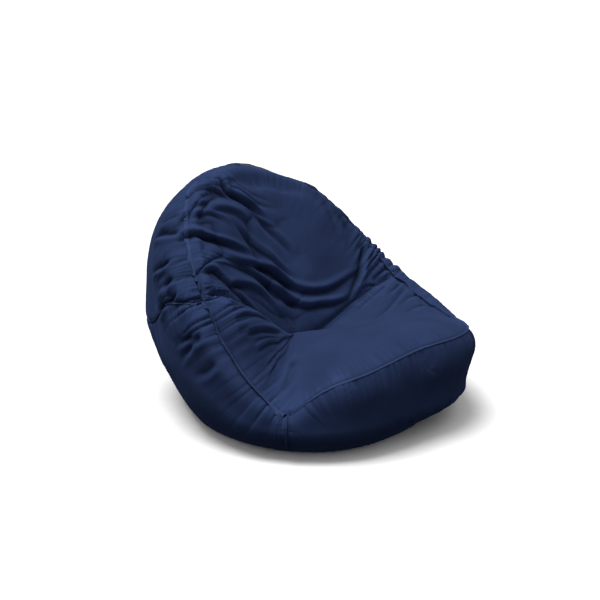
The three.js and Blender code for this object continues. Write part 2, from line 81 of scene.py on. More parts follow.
ZIP_LOW = np.array([0, 0.462, 0.200])
ZIP_HIGH = np.array([0, 0.426, 0.545])
ZIP_FACING = 0.2  # the sine of the angle past which the wall is flattened to the plane of the zip
ZIP_BLEND = 0.006  # how softly the wall meets that plane
ZIP_MOUTH = 0.0065  # half the gap between the two edges of the cover at the zip
MOUTH_OPENING = 0.03  # the share of the way down a panel over which the gap opens from its seam
MOUTH_REACH = 4  # degrees over which the columns close up to make room for the zip
ZIP_DEPTH = 0.0028  # middle of the tape below the face of the cover
ZIP_ALONG = (ZIP_HIGH - ZIP_LOW) / np.linalg.norm(ZIP_HIGH - ZIP_LOW)
ZIP_LENGTH = float(np.linalg.norm(ZIP_HIGH - ZIP_LOW))

LINER_DEPTH = 0.0125
FILL_DEPTH = 0.0155


def through(a, b, c, d, f):
    """The smooth curve from b (f = 0) to c (f = 1), with a before them and d after them."""
    return b + 0.5 * f * (c - a + f * (2 * a - 5 * b + 4 * c - d + f * (3 * (b - c) + d - a)))


def outline(angle):
    """The outline's six values at each angle, by a smooth curve through its neighbours."""
    at = (np.asarray(angle, float) % 360) / OUTLINE_STEP
    i = np.floor(at).astype(int)
    around = (OUTLINES[(i + k) % len(OUTLINES)] for k in (-1, 0, 1, 2))
    values = through(*around, (at - i)[..., None])
    from_corner = np.hypot(at * OUTLINE_STEP - CORNER_LEFT, CORNER_TIP) - CORNER_TIP
    values[..., 1] -= CORNER_DIP * np.exp(-from_corner / CORNER_DIP_TURN)
    return values


def bezier(a, b, c, d, t):
    return (1 - t) ** 3 * a + 3 * (1 - t) ** 2 * t * b + 3 * (1 - t) * t * t * c + t**3 * d


def smooth(t):
    t = np.clip(t, 0, 1)
    return t * t * (3 - 2 * t)


def within(x, low, high, rise, fall=None):
    """1 between low and high, rising to it over `rise` and dying out over `fall`."""
    return smooth((x - low) / rise) * smooth((high - x) / (fall or rise))


def wall_point(angle, down):
    """The outer wall: down is 0 at the rim, 0.5 at the belly and 1 on the floor."""
    angle, down = np.broadcast_arrays(np.asarray(angle, float), np.asarray(down, float))
    rim_r, rim_z, slope, belly_r, belly_z, base_r = np.moveaxis(outline(angle), -1, 0)
    a = np.radians(angle)
    facing = np.sin(a)
    reach = CONTROL_REACH * np.hypot(belly_r - rim_r, rim_z - belly_z)
    tilt = np.radians(slope - FRONT_FOLD * np.maximum(-facing, 0))
    t, u = np.clip(down * 2, 0, 1), np.clip(down * 2 - 1, 0, 1)
    r_up = bezier(rim_r, rim_r + reach * np.cos(tilt), belly_r, belly_r, t)
    z_up = bezier(rim_z, rim_z + reach * np.sin(tilt), (rim_z + belly_z) / 2, belly_z, t)
    r_low = bezier(belly_r, belly_r, base_r + CONTROL_REACH * (belly_r - base_r), base_r, u)
    z_low = bezier(belly_z, belly_z / 2, 0, 0, u)
    r, z = np.where(down <= 0.5, r_up, r_low), np.where(down <= 0.5, z_up, z_low)
    plane = ZIP_LOW[1] + (z - ZIP_LOW[2]) * ZIP_ALONG[1] / ZIP_ALONG[2]
    limit = np.where(facing > ZIP_FACING, plane / np.maximum(facing, ZIP_FACING), np.inf)
    close = np.maximum(ZIP_BLEND - np.abs(r - limit), 0) / ZIP_BLEND
    r = np.minimum(r, limit) - close * close * ZIP_BLEND / 4
    return np.stack([r * np.cos(a), r * np.sin(a), z], -1)


def top_point(x, y):
    """The top, seat and back-rest together, as a height over the floor plan inside the rim."""
    angle = np.degrees(np.arctan2(y, x))
    rim_r, rim_z, slope = np.moveaxis(outline(angle), -1, 0)[:3]
    t = 1 - np.hypot(x, y) / rim_r
    rear = np.sin(np.radians(angle))
    start = -np.tan(np.radians(slope)) * rim_r
    end = np.where(rear > 0, -BACK_STEEPNESS * rear, SEAT_RISE * rear)
    z = (
        (1 - 3 * t * t + 2 * t**3) * rim_z
        + (t - 2 * t * t + t**3) * start
        + (3 * t * t - 2 * t**3) * SEAT_LOW
        + (t**3 - t * t) * end
    )
    return np.stack([x, y, z], -1)


def down_at(angle, height):
    """How far down the wall lies at an angle and a height."""
    above, below = np.zeros(angle.shape), np.ones(angle.shape)
    for _ in range(24):
        middle = (above + below) / 2
        higher = wall_point(angle, middle)[..., 2] > height
        above, below = np.where(higher, middle, above), np.where(higher, below, middle)
    return above


def split_down(angle):
    """How far down the wall the seam between wing and side panel runs."""
    past_left, past_right = CREASE_LEFT - angle, angle - CREASE_RIGHT
    crease = np.where(past_left < past_right, CREASE_LEFT, CREASE_RIGHT)
    start = wall_point(crease, SPLIT_START)[..., 2]
    height = start + (SPLIT_HEIGHT - start) * smooth(np.minimum(past_left, past_right) / SPLIT_TURN)
    return down_at(angle, height)


# ---- the cover as grids of points: columns round the ring, rows across each panel ----

FINER = 3  # the cover is this many times finer than the grid that is simulated
# The seat has as many columns (left, front and right) as the back-rest (twice the rear).
REAR_COLUMNS, SIDE_LEFT_COLUMNS, FRONT_COLUMNS, SIDE_RIGHT_COLUMNS = 80, 42, 66, 52
WALL_ROWS, WING_ROWS, BACK_ROWS, SEAT_ROWS = 34, 38, 56, 46
CREASE_CROWDING = 1.3  # columns stand closer towards the creases
CREASE_SPAN = 0.97  # the crease ends just inside the rim


def from_crease(crease):
    t = np.linspace(0, 1, FINER * REAR_COLUMNS + 1)
    return crease + (REAR - crease) * t**CREASE_CROWDING


REAR_LEFT = from_crease(CREASE_LEFT)
REAR_RIGHT = from_crease(CREASE_RIGHT)[::-1]
SIDE_LEFT = np.linspace(CORNER_LEFT, CREASE_LEFT, FINER * SIDE_LEFT_COLUMNS + 1)
SIDE_RIGHT = np.linspace(CREASE_RIGHT, CORNER_RIGHT - 360, FINER * SIDE_RIGHT_COLUMNS + 1)
FRONT = np.linspace(CORNER_LEFT, CORNER_RIGHT, FINER * FRONT_COLUMNS + 1)
BACK = np.concatenate([REAR_LEFT, REAR_RIGHT[1:]])
SEAT = np.concatenate([SIDE_LEFT[::-1], FRONT[1:], SIDE_RIGHT[::-1][1:] + 360])


def crease_point(share):
    """A point of the crease between seat and back-rest, from its left end to its right end."""
    angle = np.where(share < 0.5, CREASE_LEFT, CREASE_RIGHT)
    from_middle = np.maximum(np.abs(1 - 2 * share), 0.004)  # never 0, where there is no angle
    r = outline(angle)[..., 0] * from_middle * CREASE_SPAN
    return r * np.cos(np.radians(angle)), r * np.sin(np.radians(angle))


def top_grid(angles, rows):
    """A panel of the top, from the crease (row 0) out to the rim (last row)."""
    x0, y0 = crease_point(np.linspace(0, 1, len(angles)))
    rim = wall_point(angles, 0)
    v = np.linspace(0, 1, FINER * rows + 1)
    x = x0[:, None] + (rim[:, 0] - x0)[:, None] * v
    y = y0[:, None] + (rim[:, 1] - y0)[:, None] * v
    return top_point(x, y)


def wall_grid(angles, top, bottom, rows, side=0):
    """A panel of the wall, between two shares of the way down, each one value or one per angle.

    At the rear its edge stands back from the zip, on side 1 (left) or -1.
    """
    top, bottom = (np.broadcast_to(limit, len(angles))[:, None] for limit in (top, bottom))
    down = top + (bottom - top) * np.linspace(0, 1, FINER * rows + 1)
    mouth = ZIP_MOUTH * smooth(down / MOUTH_OPENING)
    turn = np.degrees(np.arctan2(mouth, wall_point(REAR, down)[..., 1]))
    near = np.maximum(1 - np.abs(angles - REAR) / MOUTH_REACH, 0)[:, None]
    return wall_point(angles[:, None] + side * turn * near, down)


def side_top(angles):
    """How far down a side panel starts: under the wing behind the crease, else at the rim."""
    between = (angles < CREASE_LEFT) & (angles > CREASE_RIGHT)
    return np.where(between, split_down(angles), 0.0)


LEFT = np.concatenate([SIDE_LEFT, REAR_LEFT[1:]])
RIGHT = np.concatenate([REAR_RIGHT, SIDE_RIGHT[1:]])
grids = {
    "back_rest": top_grid(BACK, BACK_ROWS),
    "seat": top_grid(SEAT, SEAT_ROWS),
    "front": wall_grid(FRONT, 0, 1, WALL_ROWS),
    "left_side": wall_grid(LEFT, side_top(LEFT), 1, WALL_ROWS, 1),
    "right_side": wall_grid(RIGHT, side_top(RIGHT), 1, WALL_ROWS, -1),
    "left_wing": wall_grid(REAR_LEFT, 0, split_down(REAR_LEFT), WING_ROWS, 1),
    "right_wing": wall_grid(REAR_RIGHT, 0, split_down(REAR_RIGHT), WING_ROWS, -1),
}
coarse = (slice(None, None, FINER), slice(None, None, FINER))
coarse_grids = {name: p[coarse] for name, p in grids.items()}


# ---- small numeric helpers ----


def value_noise(p, seed):
    """Smooth noise from -1 to 1 at points of shape (..., 3), one cell per unit."""
    base = np.floor(p).astype(np.int64)
    f = p - base
    f = f * f * (3 - 2 * f)

    def corner(dx, dy, dz):
        h = (
            (base[..., 0] + dx) * 374761393
            + (base[..., 1] + dy) * 668265263
            + (base[..., 2] + dz) * 1274126177
            + seed * 974634777
        ) & 0xFFFFFFFF
        h = ((h ^ (h >> 13)) * 1103515245) & 0xFFFFFFFF
        return (h ^ (h >> 16)) / 2147483648.0 - 1

    total = 0
    for dx in (0, 1):
        for dy in (0, 1):
            for dz in (0, 1):
                weight = (
                    (f[..., 0] if dx else 1 - f[..., 0])
                    * (f[..., 1] if dy else 1 - f[..., 1])
                    * (f[..., 2] if dz else 1 - f[..., 2])
                )
                total = total + weight * corner(dx, dy, dz)
    return total


def unit(v):
    return v / np.maximum(np.linalg.norm(v, axis=-1, keepdims=True), 1e-12)


MIDDLE = np.array([0, 0, 0.1])  # a point well inside the body


def grid_normals(p):
    """Unit normals of a grid of points, turned outward."""
    n = unit(np.cross(np.gradient(p, axis=0), np.gradient(p, axis=1)))
    return n if np.sum(n * (p - MIDDLE)) > 0 else -n


def finer(p, axis, parts):
    """Splits each step of a grid into `parts`, along one axis, by a smooth curve."""
    p = np.moveaxis(p, axis, 0)
    padded = np.concatenate([2 * p[:1] - p[1:2], p, 2 * p[-1:] - p[-2:-1]])
    four = padded[:-3], padded[1:-2], padded[2:-1], padded[3:]
    out = np.stack([through(*four, k / parts) for k in range(parts)], 1).reshape((-1,) + p.shape[1:])
    return np.moveaxis(np.concatenate([out, p[-1:]]), 0, axis)


# ---- folds: creases in the cloth, each along a line on the body ----

# Folds of the top, over the floor plan: depth, half width and roll (the swell beside the crease, as
# a share of its depth) in millimetres, then points x, y in centimetres from the middle of the ring.
TOP_FOLDS = [
    (15, 9, 0.5, [(-13, 21), (-14, 15), (-9, 14), (-2, 15), (3, 15)]),  # from the top edge
    (8, 12, 0.5, [(-25, 11), (-16, 11), (-8, 11)]),
    (6, 8, 0.6, [(-31, 11), (-23, 10), (-17, 9)]),
    (10, 10, 0.5, [(-18, 10), (-10, 9), (1, 9), (7, 7)]),
    (8, 13, 0.4, [(-5, 13), (4, 13), (9, 10)]),
    (18, 9, 0.5, [(-36, 10), (-33, 9), (-27, 7), (-17, 7), (-9, 8)]),  # deep, from the left ridge
    (13, 11, 0.7, [(-34, 7), (-21, 5), (-5, 7), (4, 7), (10, 5), (18, 4), (29, 4), (34, 6)]),
    (13, 11, 0.7, [(-36, 4), (-18, 5), (-2, 5), (6, 4), (13, 3), (22, 1), (28, 2)]),
    (11, 10, 0.5, [(-26, 1), (-22, 2), (-11, 4), (-1, 2)]),
    (15, 10, 0.5, [(36, 8), (34, 6), (29, 3), (22, 0)]),  # from the right seam into the crease
    (5, 16, 0.5, [(30, 20), (32, 14), (31, 7)]),
    (5, 14, 0.5, [(24, 22), (27, 14), (26, 7)]),
    (9, 10, 0.5, [(-37, -6), (-30, -4), (-24, -4)]),  # over the left bolster of the seat
    (8, 9, 0.5, [(-34, -11), (-27, -9), (-17, -6)]),
    (7, 8, 0.5, [(-32, -14), (-25, -11), (-14, -7)]),
    (9, 8, 0.6, [(42, -3), (38, -5), (30, -7)]),  # fanned from the right end of the seat
    (8, 9, 0.6, [(42, -6), (35, -9), (26, -12), (14, -16)]),
    (8, 8, 0.6, [(44, -11), (37, -12), (28, -14)]),
    (6, 9, 0.6, [(45, -17), (37, -17), (28, -19), (20, -22)]),
    (7, 7, 0.5, [(38, -2), (33, -3), (25, -3), (18, -3)]),
    (6, 7, 0.5, [(-31, -19), (-24, -15), (-15, -12)]),  # from the left seam of the seat
    (6, 8, 0.5, [(-29, -23), (-22, -19), (-14, -17)]),
    (6, 6, 0.5, [(-36, -8), (-28, -6.5), (-20, -5)]),
    (5, 6, 0.5, [(-33, -12.5), (-26, -10), (-18, -7.5)]),
    (6, 6, 0.5, [(-30, -16.5), (-23, -13), (-12, -9)]),
    (7, 7, 0.5, [(-30, 17), (-24, 15), (-17, 14), (-12, 12)]),  # from the upper left ridge
    (8, 7, 0.5, [(-34, 13), (-28, 12), (-21, 12)]),
    (6, 7, 0.5, [(-20, 20), (-17, 17), (-11, 17), (-5, 17)]),
    (9, 8, 0.5, [(-36, 2), (-29, 2), (-20, 0), (-13, 1)]),
]

# Folds of the wall, as points of angle in degrees and height in centimetres.
WALL_FOLDS = [
    (16, 9, 0.5, [(163, 57), (158, 56), (150, 55), (142, 52)]),
    (9, 8, 0.5, [(156, 61), (151, 59), (145, 57)]),
    (11, 8, 0.5, [(168, 51), (162, 48), (154, 45), (146, 43)]),
    (9, 8, 0.5, [(172, 47), (166, 43), (158, 39)]),
    (12, 8, 0.5, [(177, 44), (171, 40), (163, 36), (152, 34)]),
    (9, 9, 0.5, [(186, 33), (180, 30), (172, 27)]),
    (9, 8, 0.5, [(190, 36), (186, 31), (180, 26), (174, 22)]),
    (7, 9, 0.5, [(196, 27), (190, 23), (182, 20)]),
]


MM, CM = 0.001, 0.01
TOP_FOLD_WIDTH = 0.8  # the folds of the top are this much narrower than their table says
FOLD_DEPTH = 1.25  # and all folds this much deeper
FOLD_ROUNDING = 0.002
FOLD_WANDER, FOLD_WANDER_SCALE = 0.006, 14  # how far folds stray from their lines, and how often
FOLD_RISE, FOLD_FALL = 0.25, 0.4  # the shares of its length over which a fold starts and dies out
ROLL_AT, ROLL_WIDTH = 1.9, 1.4  # the swell beside a fold, in widths of the fold
LINE_PARTS = 5  # straight parts between two points of a fold's line


def on_top(x, y):
    return top_point(x * CM, y * CM)


def on_wall(angle, height):
    return wall_point(angle, down_at(angle, height * CM))


FOLDS = [
    (
        depth * MM * FOLD_DEPTH,
        width * MM * narrowing,
        roll,
        finer(surface(*np.array(line, float).T), 0, LINE_PARTS),
    )
    for table, surface, narrowing in ((TOP_FOLDS, on_top, TOP_FOLD_WIDTH), (WALL_FOLDS, on_wall, 1))
    for depth, width, roll, line in table
]


def fold_field(points, normals):
    """How far each point moves out along its normal, from all the folds near it."""
    at = points * FOLD_WANDER_SCALE
    warped = points + FOLD_WANDER * np.stack([value_noise(at, seed) for seed in (1, 2, 3)], -1)
    total = np.zeros(points.shape[:-1])
    for depth, width, roll, line in FOLDS:
        reach = 4 * width + 0.01
        near = np.all((warped > line.min(0) - reach) & (warped < line.max(0) + reach), axis=-1)
        if not near.any():
            continue
        p, n = warped[near], normals[near]
        best = np.full(len(p), 9.0)
        share, side = np.zeros(len(p)), np.zeros(len(p))
        for k in range(len(line) - 1):
            a, d = line[k], line[k + 1] - line[k]
            t = np.clip((p - a) @ d / (d @ d), 0, 1)
            away = p - a - t[:, None] * d
            distance = np.linalg.norm(away, axis=1)
            closer = distance < best
            best = np.where(closer, distance, best)
            share = np.where(closer, (k + t) / (len(line) - 1), share)
            side = np.where(closer, np.sum(np.cross(n, d) * away, axis=1), side)
        rounded = np.hypot(best, FOLD_ROUNDING) - FOLD_ROUNDING
        from_roll = (best * np.sign(side) - ROLL_AT * width) / (ROLL_WIDTH * width)
        shape = roll * np.exp(-(from_roll**2)) - np.exp(-rounded / width)
        total[near] += depth * within(share, 0, 1, FOLD_RISE, FOLD_FALL) * shape
    return total


# ---- the finished cover grids ----

CREASE_DEPTH, CREASE_WIDTH = 0.018, 0.016
BOLSTER, BOLSTER_AT = 0.050, 0.066  # the seat rolls up before the crease
BOLSTER_BACK, BOLSTER_FRONT = 0.050, 0.115  # how wide that roll is on its two slopes
BOLSTER_RIGHT = 0.15  # the share of the roll that is left on the right
BOLSTER_END, BOLSTER_FADE = 0.68, 0.4  # where along the crease it has died down, and over how much
TOP_ROLL, TOP_ROLL_AT, TOP_ROLL_WIDTH = 0.010, 0.032, 0.026  # the back-rest swells beside its top edge
SIDE_ROLL, SIDE_ROLL_AT, SIDE_ROLL_WIDTH = 0.026, 0.045, 0.035  # the right side swells past its seam
SIDE_ROLL_ANGLE, SIDE_ROLL_TURN = -14, 26  # most at this angle, and over this many degrees
REAR_SWELL, REAR_SWELL_AT, REAR_SWELL_END = 0.016, 0.12, 0.34  # over |x|, from the zip
REAR_SWELL_LOW, REAR_SWELL_HIGH, REAR_SWELL_EDGE = 0.10, 0.66, 0.16  # and over z
PLEAT_HEIGHT, PLEAT_PITCH, PLEAT_DRIFT = 0.0105, 0.016, 0.016  # puckers that the seams draw up
FINE_PLEATS, FINE_SHARE = 0.55, 0.35  # the pitch and height of small puckers between the large
SEAM_CALM = 0.006  # the seam itself stays even between the puckers on its two sides
PINCH, PINCH_WIDTH = 0.0016, 0.009  # every seam draws the cloth in
SPLIT_PINCH, SPLIT_PINCH_WIDTH = 0.013, 0.014  # deeper where the left wing folds over its seam
SPLIT_PINCH_END = 0.2  # and from there back to this y
DRAPE_HEIGHT, DRAPE_PITCH, DRAPE_LENGTH = 0.010, 0.016, 0.17  # long soft folds of the back-rest
BILLOWS = ((0.0035, 7, 11), (0.0012, 19, 12))  # height, how many to a metre, and seed
CREASE_ENDS = 0.06  # the share of the crease's length over which it starts and dies out
ZIP_CALM = 0.035  # the cloth stays flat this far on each side of the zip
ZIP_CALM_PAST, ZIP_CALM_EDGE = 0.05, 0.03  # and this far above and below it
CORNER_ROUNDING = 70  # degrees over which the dip at the front left corner is eased, further in
SEAT_BLUR = 21  # columns on each side over which the seat's heights are evened
FLOOR_GAP = 0.0012  # the cover stops this far above the floor, clear of the base
FOOT_HEIGHT = 0.04  # below this the cover lies flatter and flatter
PUCKER_SHADE = 2.0  # puckers get more painted shade and light in the cloth's colour than folds of the same height
SEAM_STEP = 0.006  # spacing of the points from which the distance to a seam is measured


def lengths(p, axis):
    """Distance along the cloth of every point from the first edge and from the last edge."""
    step = np.linalg.norm(np.diff(p, axis=axis), axis=-1)
    zero = np.zeros_like(np.take(step, [0], axis))
    from_first = np.concatenate([zero, np.cumsum(step, axis)], axis)
    return from_first, np.take(from_first, [-1], axis) - from_first


def ruffles(at, seed):
    """Round swells with sharp valleys between them, about 0 on the whole."""
    return 1.3 * np.abs(value_noise(at, seed)) ** 0.55 - 0.4


def pleats(along, away, reach, seed):
    """Puckers square to a seam: `along` it and `away` from it, in metres, dying out at `reach`."""
    zero = 0 * away
    drift = PLEAT_DRIFT * value_noise(np.stack([along * 8, away * 9, zero], -1), seed)
    at = (along + drift) / PLEAT_PITCH
    large = ruffles(np.stack([at, away * 5, zero], -1), seed + 2)
    small = ruffles(np.stack([at / FINE_PLEATS, away * 12, zero], -1), seed + 3)
    strong = 0.7 + 0.6 * value_noise(np.stack([along * 5, zero, zero], -1), seed + 1)
    faded = np.exp(-((away / reach) ** 1.5)) * (1 - 0.85 * np.exp(-((away / SEAM_CALM) ** 2)))
    return PLEAT_HEIGHT * strong * (large * faded + FINE_SHARE * small * faded**3)


def resampled(line, others, step):
    """A line at even spacing, and other values carried along with it."""
    far = np.concatenate([[0], np.cumsum(np.linalg.norm(np.diff(line, axis=0), axis=1))])
    at = np.linspace(0, far[-1], max(int(far[-1] / step), 4) + 1)

    def pick(values):
        return np.stack([np.interp(at, far, values[:, k]) for k in range(values.shape[1])], -1)

    return at, pick(line), [pick(value) for value in others]


# Parts of a grid: its first and last row and column, and the three parts of the seat's last row.
FIRST_ROW, LAST_ROW, FIRST_COLUMN, LAST_COLUMN = (slice(None), 0), (slice(None), -1), 0, -1
LEFT_END, RIGHT_END = FINER * SIDE_LEFT_COLUMNS, FINER * (SIDE_LEFT_COLUMNS + FRONT_COLUMNS)
SEAT_LEFT = (slice(0, LEFT_END + 1), -1)
SEAT_FRONT = (slice(LEFT_END, RIGHT_END + 1), -1)
SEAT_RIGHT = (slice(RIGHT_END, None), -1)

# Every seam: one panel and the part of its grid that the seam is, how strongly it puckers the
# cloth, and the panels it joins with how far the puckers reach into them, in metres.
SEWN = {
    "top_edge": (
        *("back_rest", LAST_ROW, 1.0),
        {"back_rest": 0.075, "left_wing": 0.14, "right_wing": 0.08},
    ),
    "left_seat": ("seat", SEAT_LEFT, 1.0, {"seat": 0.085, "left_side": 0.10}),
    "right_seat": ("seat", SEAT_RIGHT, 1.0, {"seat": 0.08, "right_side": 0.05}),
    "front": ("front", FIRST_ROW, 0.4, {"seat": 0.04, "front": 0.08}),
    "left_corner": ("front", FIRST_COLUMN, 0.35, {"front": 0.03, "left_side": 0.05}),
    "right_corner": ("front", LAST_COLUMN, 0.4, {"front": 0.04, "right_side": 0.05}),
    "left_split": ("left_wing", LAST_ROW, 1.1, {"left_wing": 0.07, "left_side": 0.09}),
    "right_split": ("right_wing", LAST_ROW, 0.8, {"right_wing": 0.06, "right_side": 0.07}),
    "crease": ("seat", FIRST_ROW, 0.4, {"back_rest": 0.03, "seat": 0.05}),
    "zip_left": ("left_wing", LAST_COLUMN, 0.6, {"left_wing": 0.10}),
    "zip_right": ("right_wing", FIRST_COLUMN, 0.6, {"right_wing": 0.10}),
    "rear_left": ("left_side", LAST_COLUMN, 0.5, {"left_side": 0.08}),
    "rear_right": ("right_side", FIRST_COLUMN, 0.5, {"right_side": 0.08}),
}
EVENLY_DRAWN = 0.62  # how strongly the cloth is drawn up far from the two ends of the crease
JUNCTIONS = [  # those ends, how far each reaches, and how much more it draws the cloth up
    (wall_point(CREASE_LEFT, 0), 0.27, 0.5),
    (wall_point(CREASE_RIGHT, 0), 0.2, 0.4),
]


def gathered(p):
    """How strongly the cloth is drawn up at each point."""
    away = [(np.linalg.norm(p - end, axis=-1) / reach, more) for end, reach, more in JUNCTIONS]
    return EVENLY_DRAWN + sum(more * np.exp(-(share**2)) for share, more in away)


def seam_coordinates(p, line):
    """How far along a seam each point lies, and how far away from it."""
    far, line, _ = resampled(line, [], SEAM_STEP)
    tangents = unit(np.gradient(line, axis=0))
    flat = p.reshape(-1, 3)
    nearest = np.concatenate(
        [
            np.argmin(((part[:, None] - line[None]) ** 2).sum(-1), 1)
            for part in np.array_split(flat, len(flat) // 2000 + 1)
        ]
    )
    offset = flat - line[nearest]
    ahead = np.clip(np.sum(offset * tangents[nearest], 1), -SEAM_STEP, SEAM_STEP)
    away = np.linalg.norm(offset - ahead[:, None] * tangents[nearest], axis=1)
    return (far[nearest] + ahead).reshape(p.shape[:2]), away.reshape(p.shape[:2])


def pucker_field(name, p):
    """The puckers of one panel and the pinch of its seams."""
    drawn = gathered(p)
    total = np.zeros(p.shape[:2])
    for k, (seam_name, (panel, part, strength, reaches)) in enumerate(SEWN.items()):
        if name not in reaches:
            continue
        along, away = seam_coordinates(p, plain[panel][part])
        total += strength * drawn * pleats(along, away, reaches[name], 40 + 10 * k)
        total -= PINCH * np.exp(-away / PINCH_WIDTH)
        if seam_name == "left_split":
            fold = SPLIT_PINCH * smooth(1 - p[..., 1] / SPLIT_PINCH_END)
            total -= fold * np.exp(-away / SPLIT_PINCH_WIDTH)
    return total


def drape_field(p):
    """Long folds across the left half of the back-rest, hanging between its two side seams."""
    x, y, z = p[..., 0], p[..., 1], p[..., 2]
    sag = y + 0.25 * (x - 0.06) ** 2 + 0.012 * value_noise(p * 6, 21)
    at = np.stack([x / DRAPE_LENGTH, sag / DRAPE_PITCH, 0 * z], -1)
    where = smooth((0.16 - x) / 0.2) * within(y, 0.005, 0.22, 0.03, 0.1)
    return DRAPE_HEIGHT * where * ruffles(at, 22)


def billow_field(p):
    return sum(height * value_noise(p * scale, seed) for height, scale, seed in BILLOWS)


def rear_swell(p):
    """The filling swells on both sides of the zip, which holds the cloth back."""
    x, y, z = np.abs(p[..., 0]), p[..., 1], p[..., 2]
    level = within(z, REAR_SWELL_LOW, REAR_SWELL_HIGH, REAR_SWELL_EDGE) * (y > 0.2)
    across = within(x, 0, REAR_SWELL_END, REAR_SWELL_AT, REAR_SWELL_END - REAR_SWELL_AT)
    return REAR_SWELL * across * level * (1 + 0.5 * value_noise(p * 9, 13))


RIGHT_ANGLES = {"right_wing": REAR_RIGHT, "right_side": RIGHT}
RIGHT_RIM = wall_point(np.linspace(REAR, CORNER_RIGHT - 360, 160), 0)


def crease_field(name, p):
    """The crease draws both panels in, the seat rolls up in front of it, and edges swell."""
    if name in RIGHT_ANGLES:
        turn = (RIGHT_ANGLES[name][:, None] - SIDE_ROLL_ANGLE) / SIDE_ROLL_TURN
        turned = np.exp(-(turn**2))
        _, away = seam_coordinates(p, RIGHT_RIM)
        swell = SIDE_ROLL * turned * np.exp(-(((away - SIDE_ROLL_AT) / SIDE_ROLL_WIDTH) ** 2))
        return swell + rear_swell(p)
    if name not in ("back_rest", "seat"):
        return rear_swell(p)
    away, from_rim = lengths(p, 1)
    share = np.linspace(0, 1, p.shape[0])[:, None]
    ends = within(share, 0, 1, CREASE_ENDS)
    dip = -CREASE_DEPTH * np.exp(-((away / CREASE_WIDTH) ** 1.2))
    if name == "back_rest":
        swell = TOP_ROLL * np.exp(-(((from_rim - TOP_ROLL_AT) / TOP_ROLL_WIDTH) ** 2))
        return ends * (dip + swell * smooth(from_rim / 0.02))
    left = smooth((BOLSTER_END - share) / BOLSTER_FADE)
    width = np.where(away < BOLSTER_AT, BOLSTER_BACK, BOLSTER_FRONT)
    roll = BOLSTER * (BOLSTER_RIGHT + left) * np.exp(-(((away - BOLSTER_AT) / width) ** 2))
    return ends * (dip + roll * smooth(away / 0.02) * smooth(from_rim / 0.05))


def beside_zip(p):
    """1 beside the rear zip, where the cloth lies flat, and 0 away from it."""
    x, y, z = p[..., 0], p[..., 1], p[..., 2]
    low, high = ZIP_LOW[2] - ZIP_CALM_PAST, ZIP_HIGH[2] + ZIP_CALM_PAST
    return smooth(1.4 - np.abs(x) / ZIP_CALM) * within(z, low, high, ZIP_CALM_EDGE) * (y > 0.3)


relief = {}  # how far each point stands out from the smooth body, by panel, which paints shade into the cloth's colour in the valleys and light where it stands out
sunk = {}  # each panel at the depth of its deepest fold nearby, for what lies inside


def lowest(values):
    """The smallest value near each point of a grid."""
    for axis in (0, 1):
        edges = [(0, 0), (0, 0)]
        edges[axis] = (2 * FINER, 2 * FINER)
        padded = np.pad(values, edges, mode="edge")
        count = values.shape[axis]
        values = np.min(
            [np.take(padded, np.arange(k, k + count), axis) for k in range(4 * FINER + 1)], axis=0
        )
    return values


def evened(values):
    """Each value's mean with its neighbours in the same row of the seat."""
    padded = np.pad(values, [(SEAT_BLUR, SEAT_BLUR), (0, 0)], mode="edge")
    return np.mean([padded[k : k + len(values)] for k in range(2 * SEAT_BLUR + 1)], axis=0)


def corner_ease(p):
    """How much lower the seat lies where the sharp valley from the front left corner is rounded."""
    x, y = p[..., 0], p[..., 1]
    angle = np.degrees(np.arctan2(y, x)) % 360
    t = np.clip(1 - np.hypot(x, y) / outline(angle)[..., 0], 0, 1)
    sharp, rounded = (
        np.exp(-(np.hypot(angle - CORNER_LEFT, wide) - wide) / CORNER_DIP_TURN)
        for wide in (CORNER_TIP, CORNER_TIP + CORNER_ROUNDING * t)
    )
    return CORNER_DIP * (sharp - rounded) * (1 - 3 * t * t + 2 * t**3) * smooth(t / 0.06)


def finished(name, p):
    """A panel's grid with its billows, folds and puckers."""
    if name == "seat":
        from_crease_line, from_rim = lengths(p, 1)
        inside = smooth(from_crease_line / 0.06) * smooth(from_rim / 0.08)
        p = p + (corner_ease(p) * smooth(from_crease_line / 0.08))[..., None] * [0, 0, 1]
        p[..., 2] += (evened(p[..., 2]) - p[..., 2]) * inside
    n = grid_normals(p)
    folds, puckers = fold_field(p, n), pucker_field(name, p)
    if name == "back_rest":
        puckers += drape_field(p)
    moved = folds + puckers + billow_field(p) + crease_field(name, p)
    free = smooth(p[..., 2] / FOOT_HEIGHT) * (1 - beside_zip(p))
    relief[name] = (folds + PUCKER_SHADE * puckers) * free
    sunk[name] = p + n * lowest(moved * free)[..., None]
    out = p + n * (moved * free)[..., None]
    out[..., 2] = np.maximum(out[..., 2], FLOOR_GAP)
    return out


def shared(parts):
    """Which points of the grids coincide: an index for each point, by grid."""
    points = np.concatenate([p.reshape(-1, 3) for p in parts.values()])
    _, same = np.unique(np.round(points * 1e5).astype(int), axis=0, return_inverse=True)
    ends = np.cumsum([p.shape[0] * p.shape[1] for p in parts.values()])[:-1]
    split = np.split(same.ravel(), ends)
    return {name: one.reshape(p.shape[:2]) for one, (name, p) in zip(split, parts.items())}


def mean_at(index, values):
    """The mean of the values at each shared point."""
    at = np.concatenate([index[name].ravel() for name in index])
    value = np.concatenate([values[name].reshape(-1, 3) for name in index])
    count = np.bincount(at)
    return np.stack([np.bincount(at, value[:, k]) / count for k in range(3)], -1)


def welded(before, after):
    """Moves points that were one point before to their common mean, so that seams stay closed."""
    index = shared(before)
    mean = mean_at(index, after)
    return {name: mean[one] for name, one in index.items()}


def cells(index):
    """The four corners of every cell of a grid of indices."""
    corners = [index[:-1, :-1], index[1:, :-1], index[1:, 1:], index[:-1, 1:]]
    return np.stack(corners, -1).reshape(-1, 4)


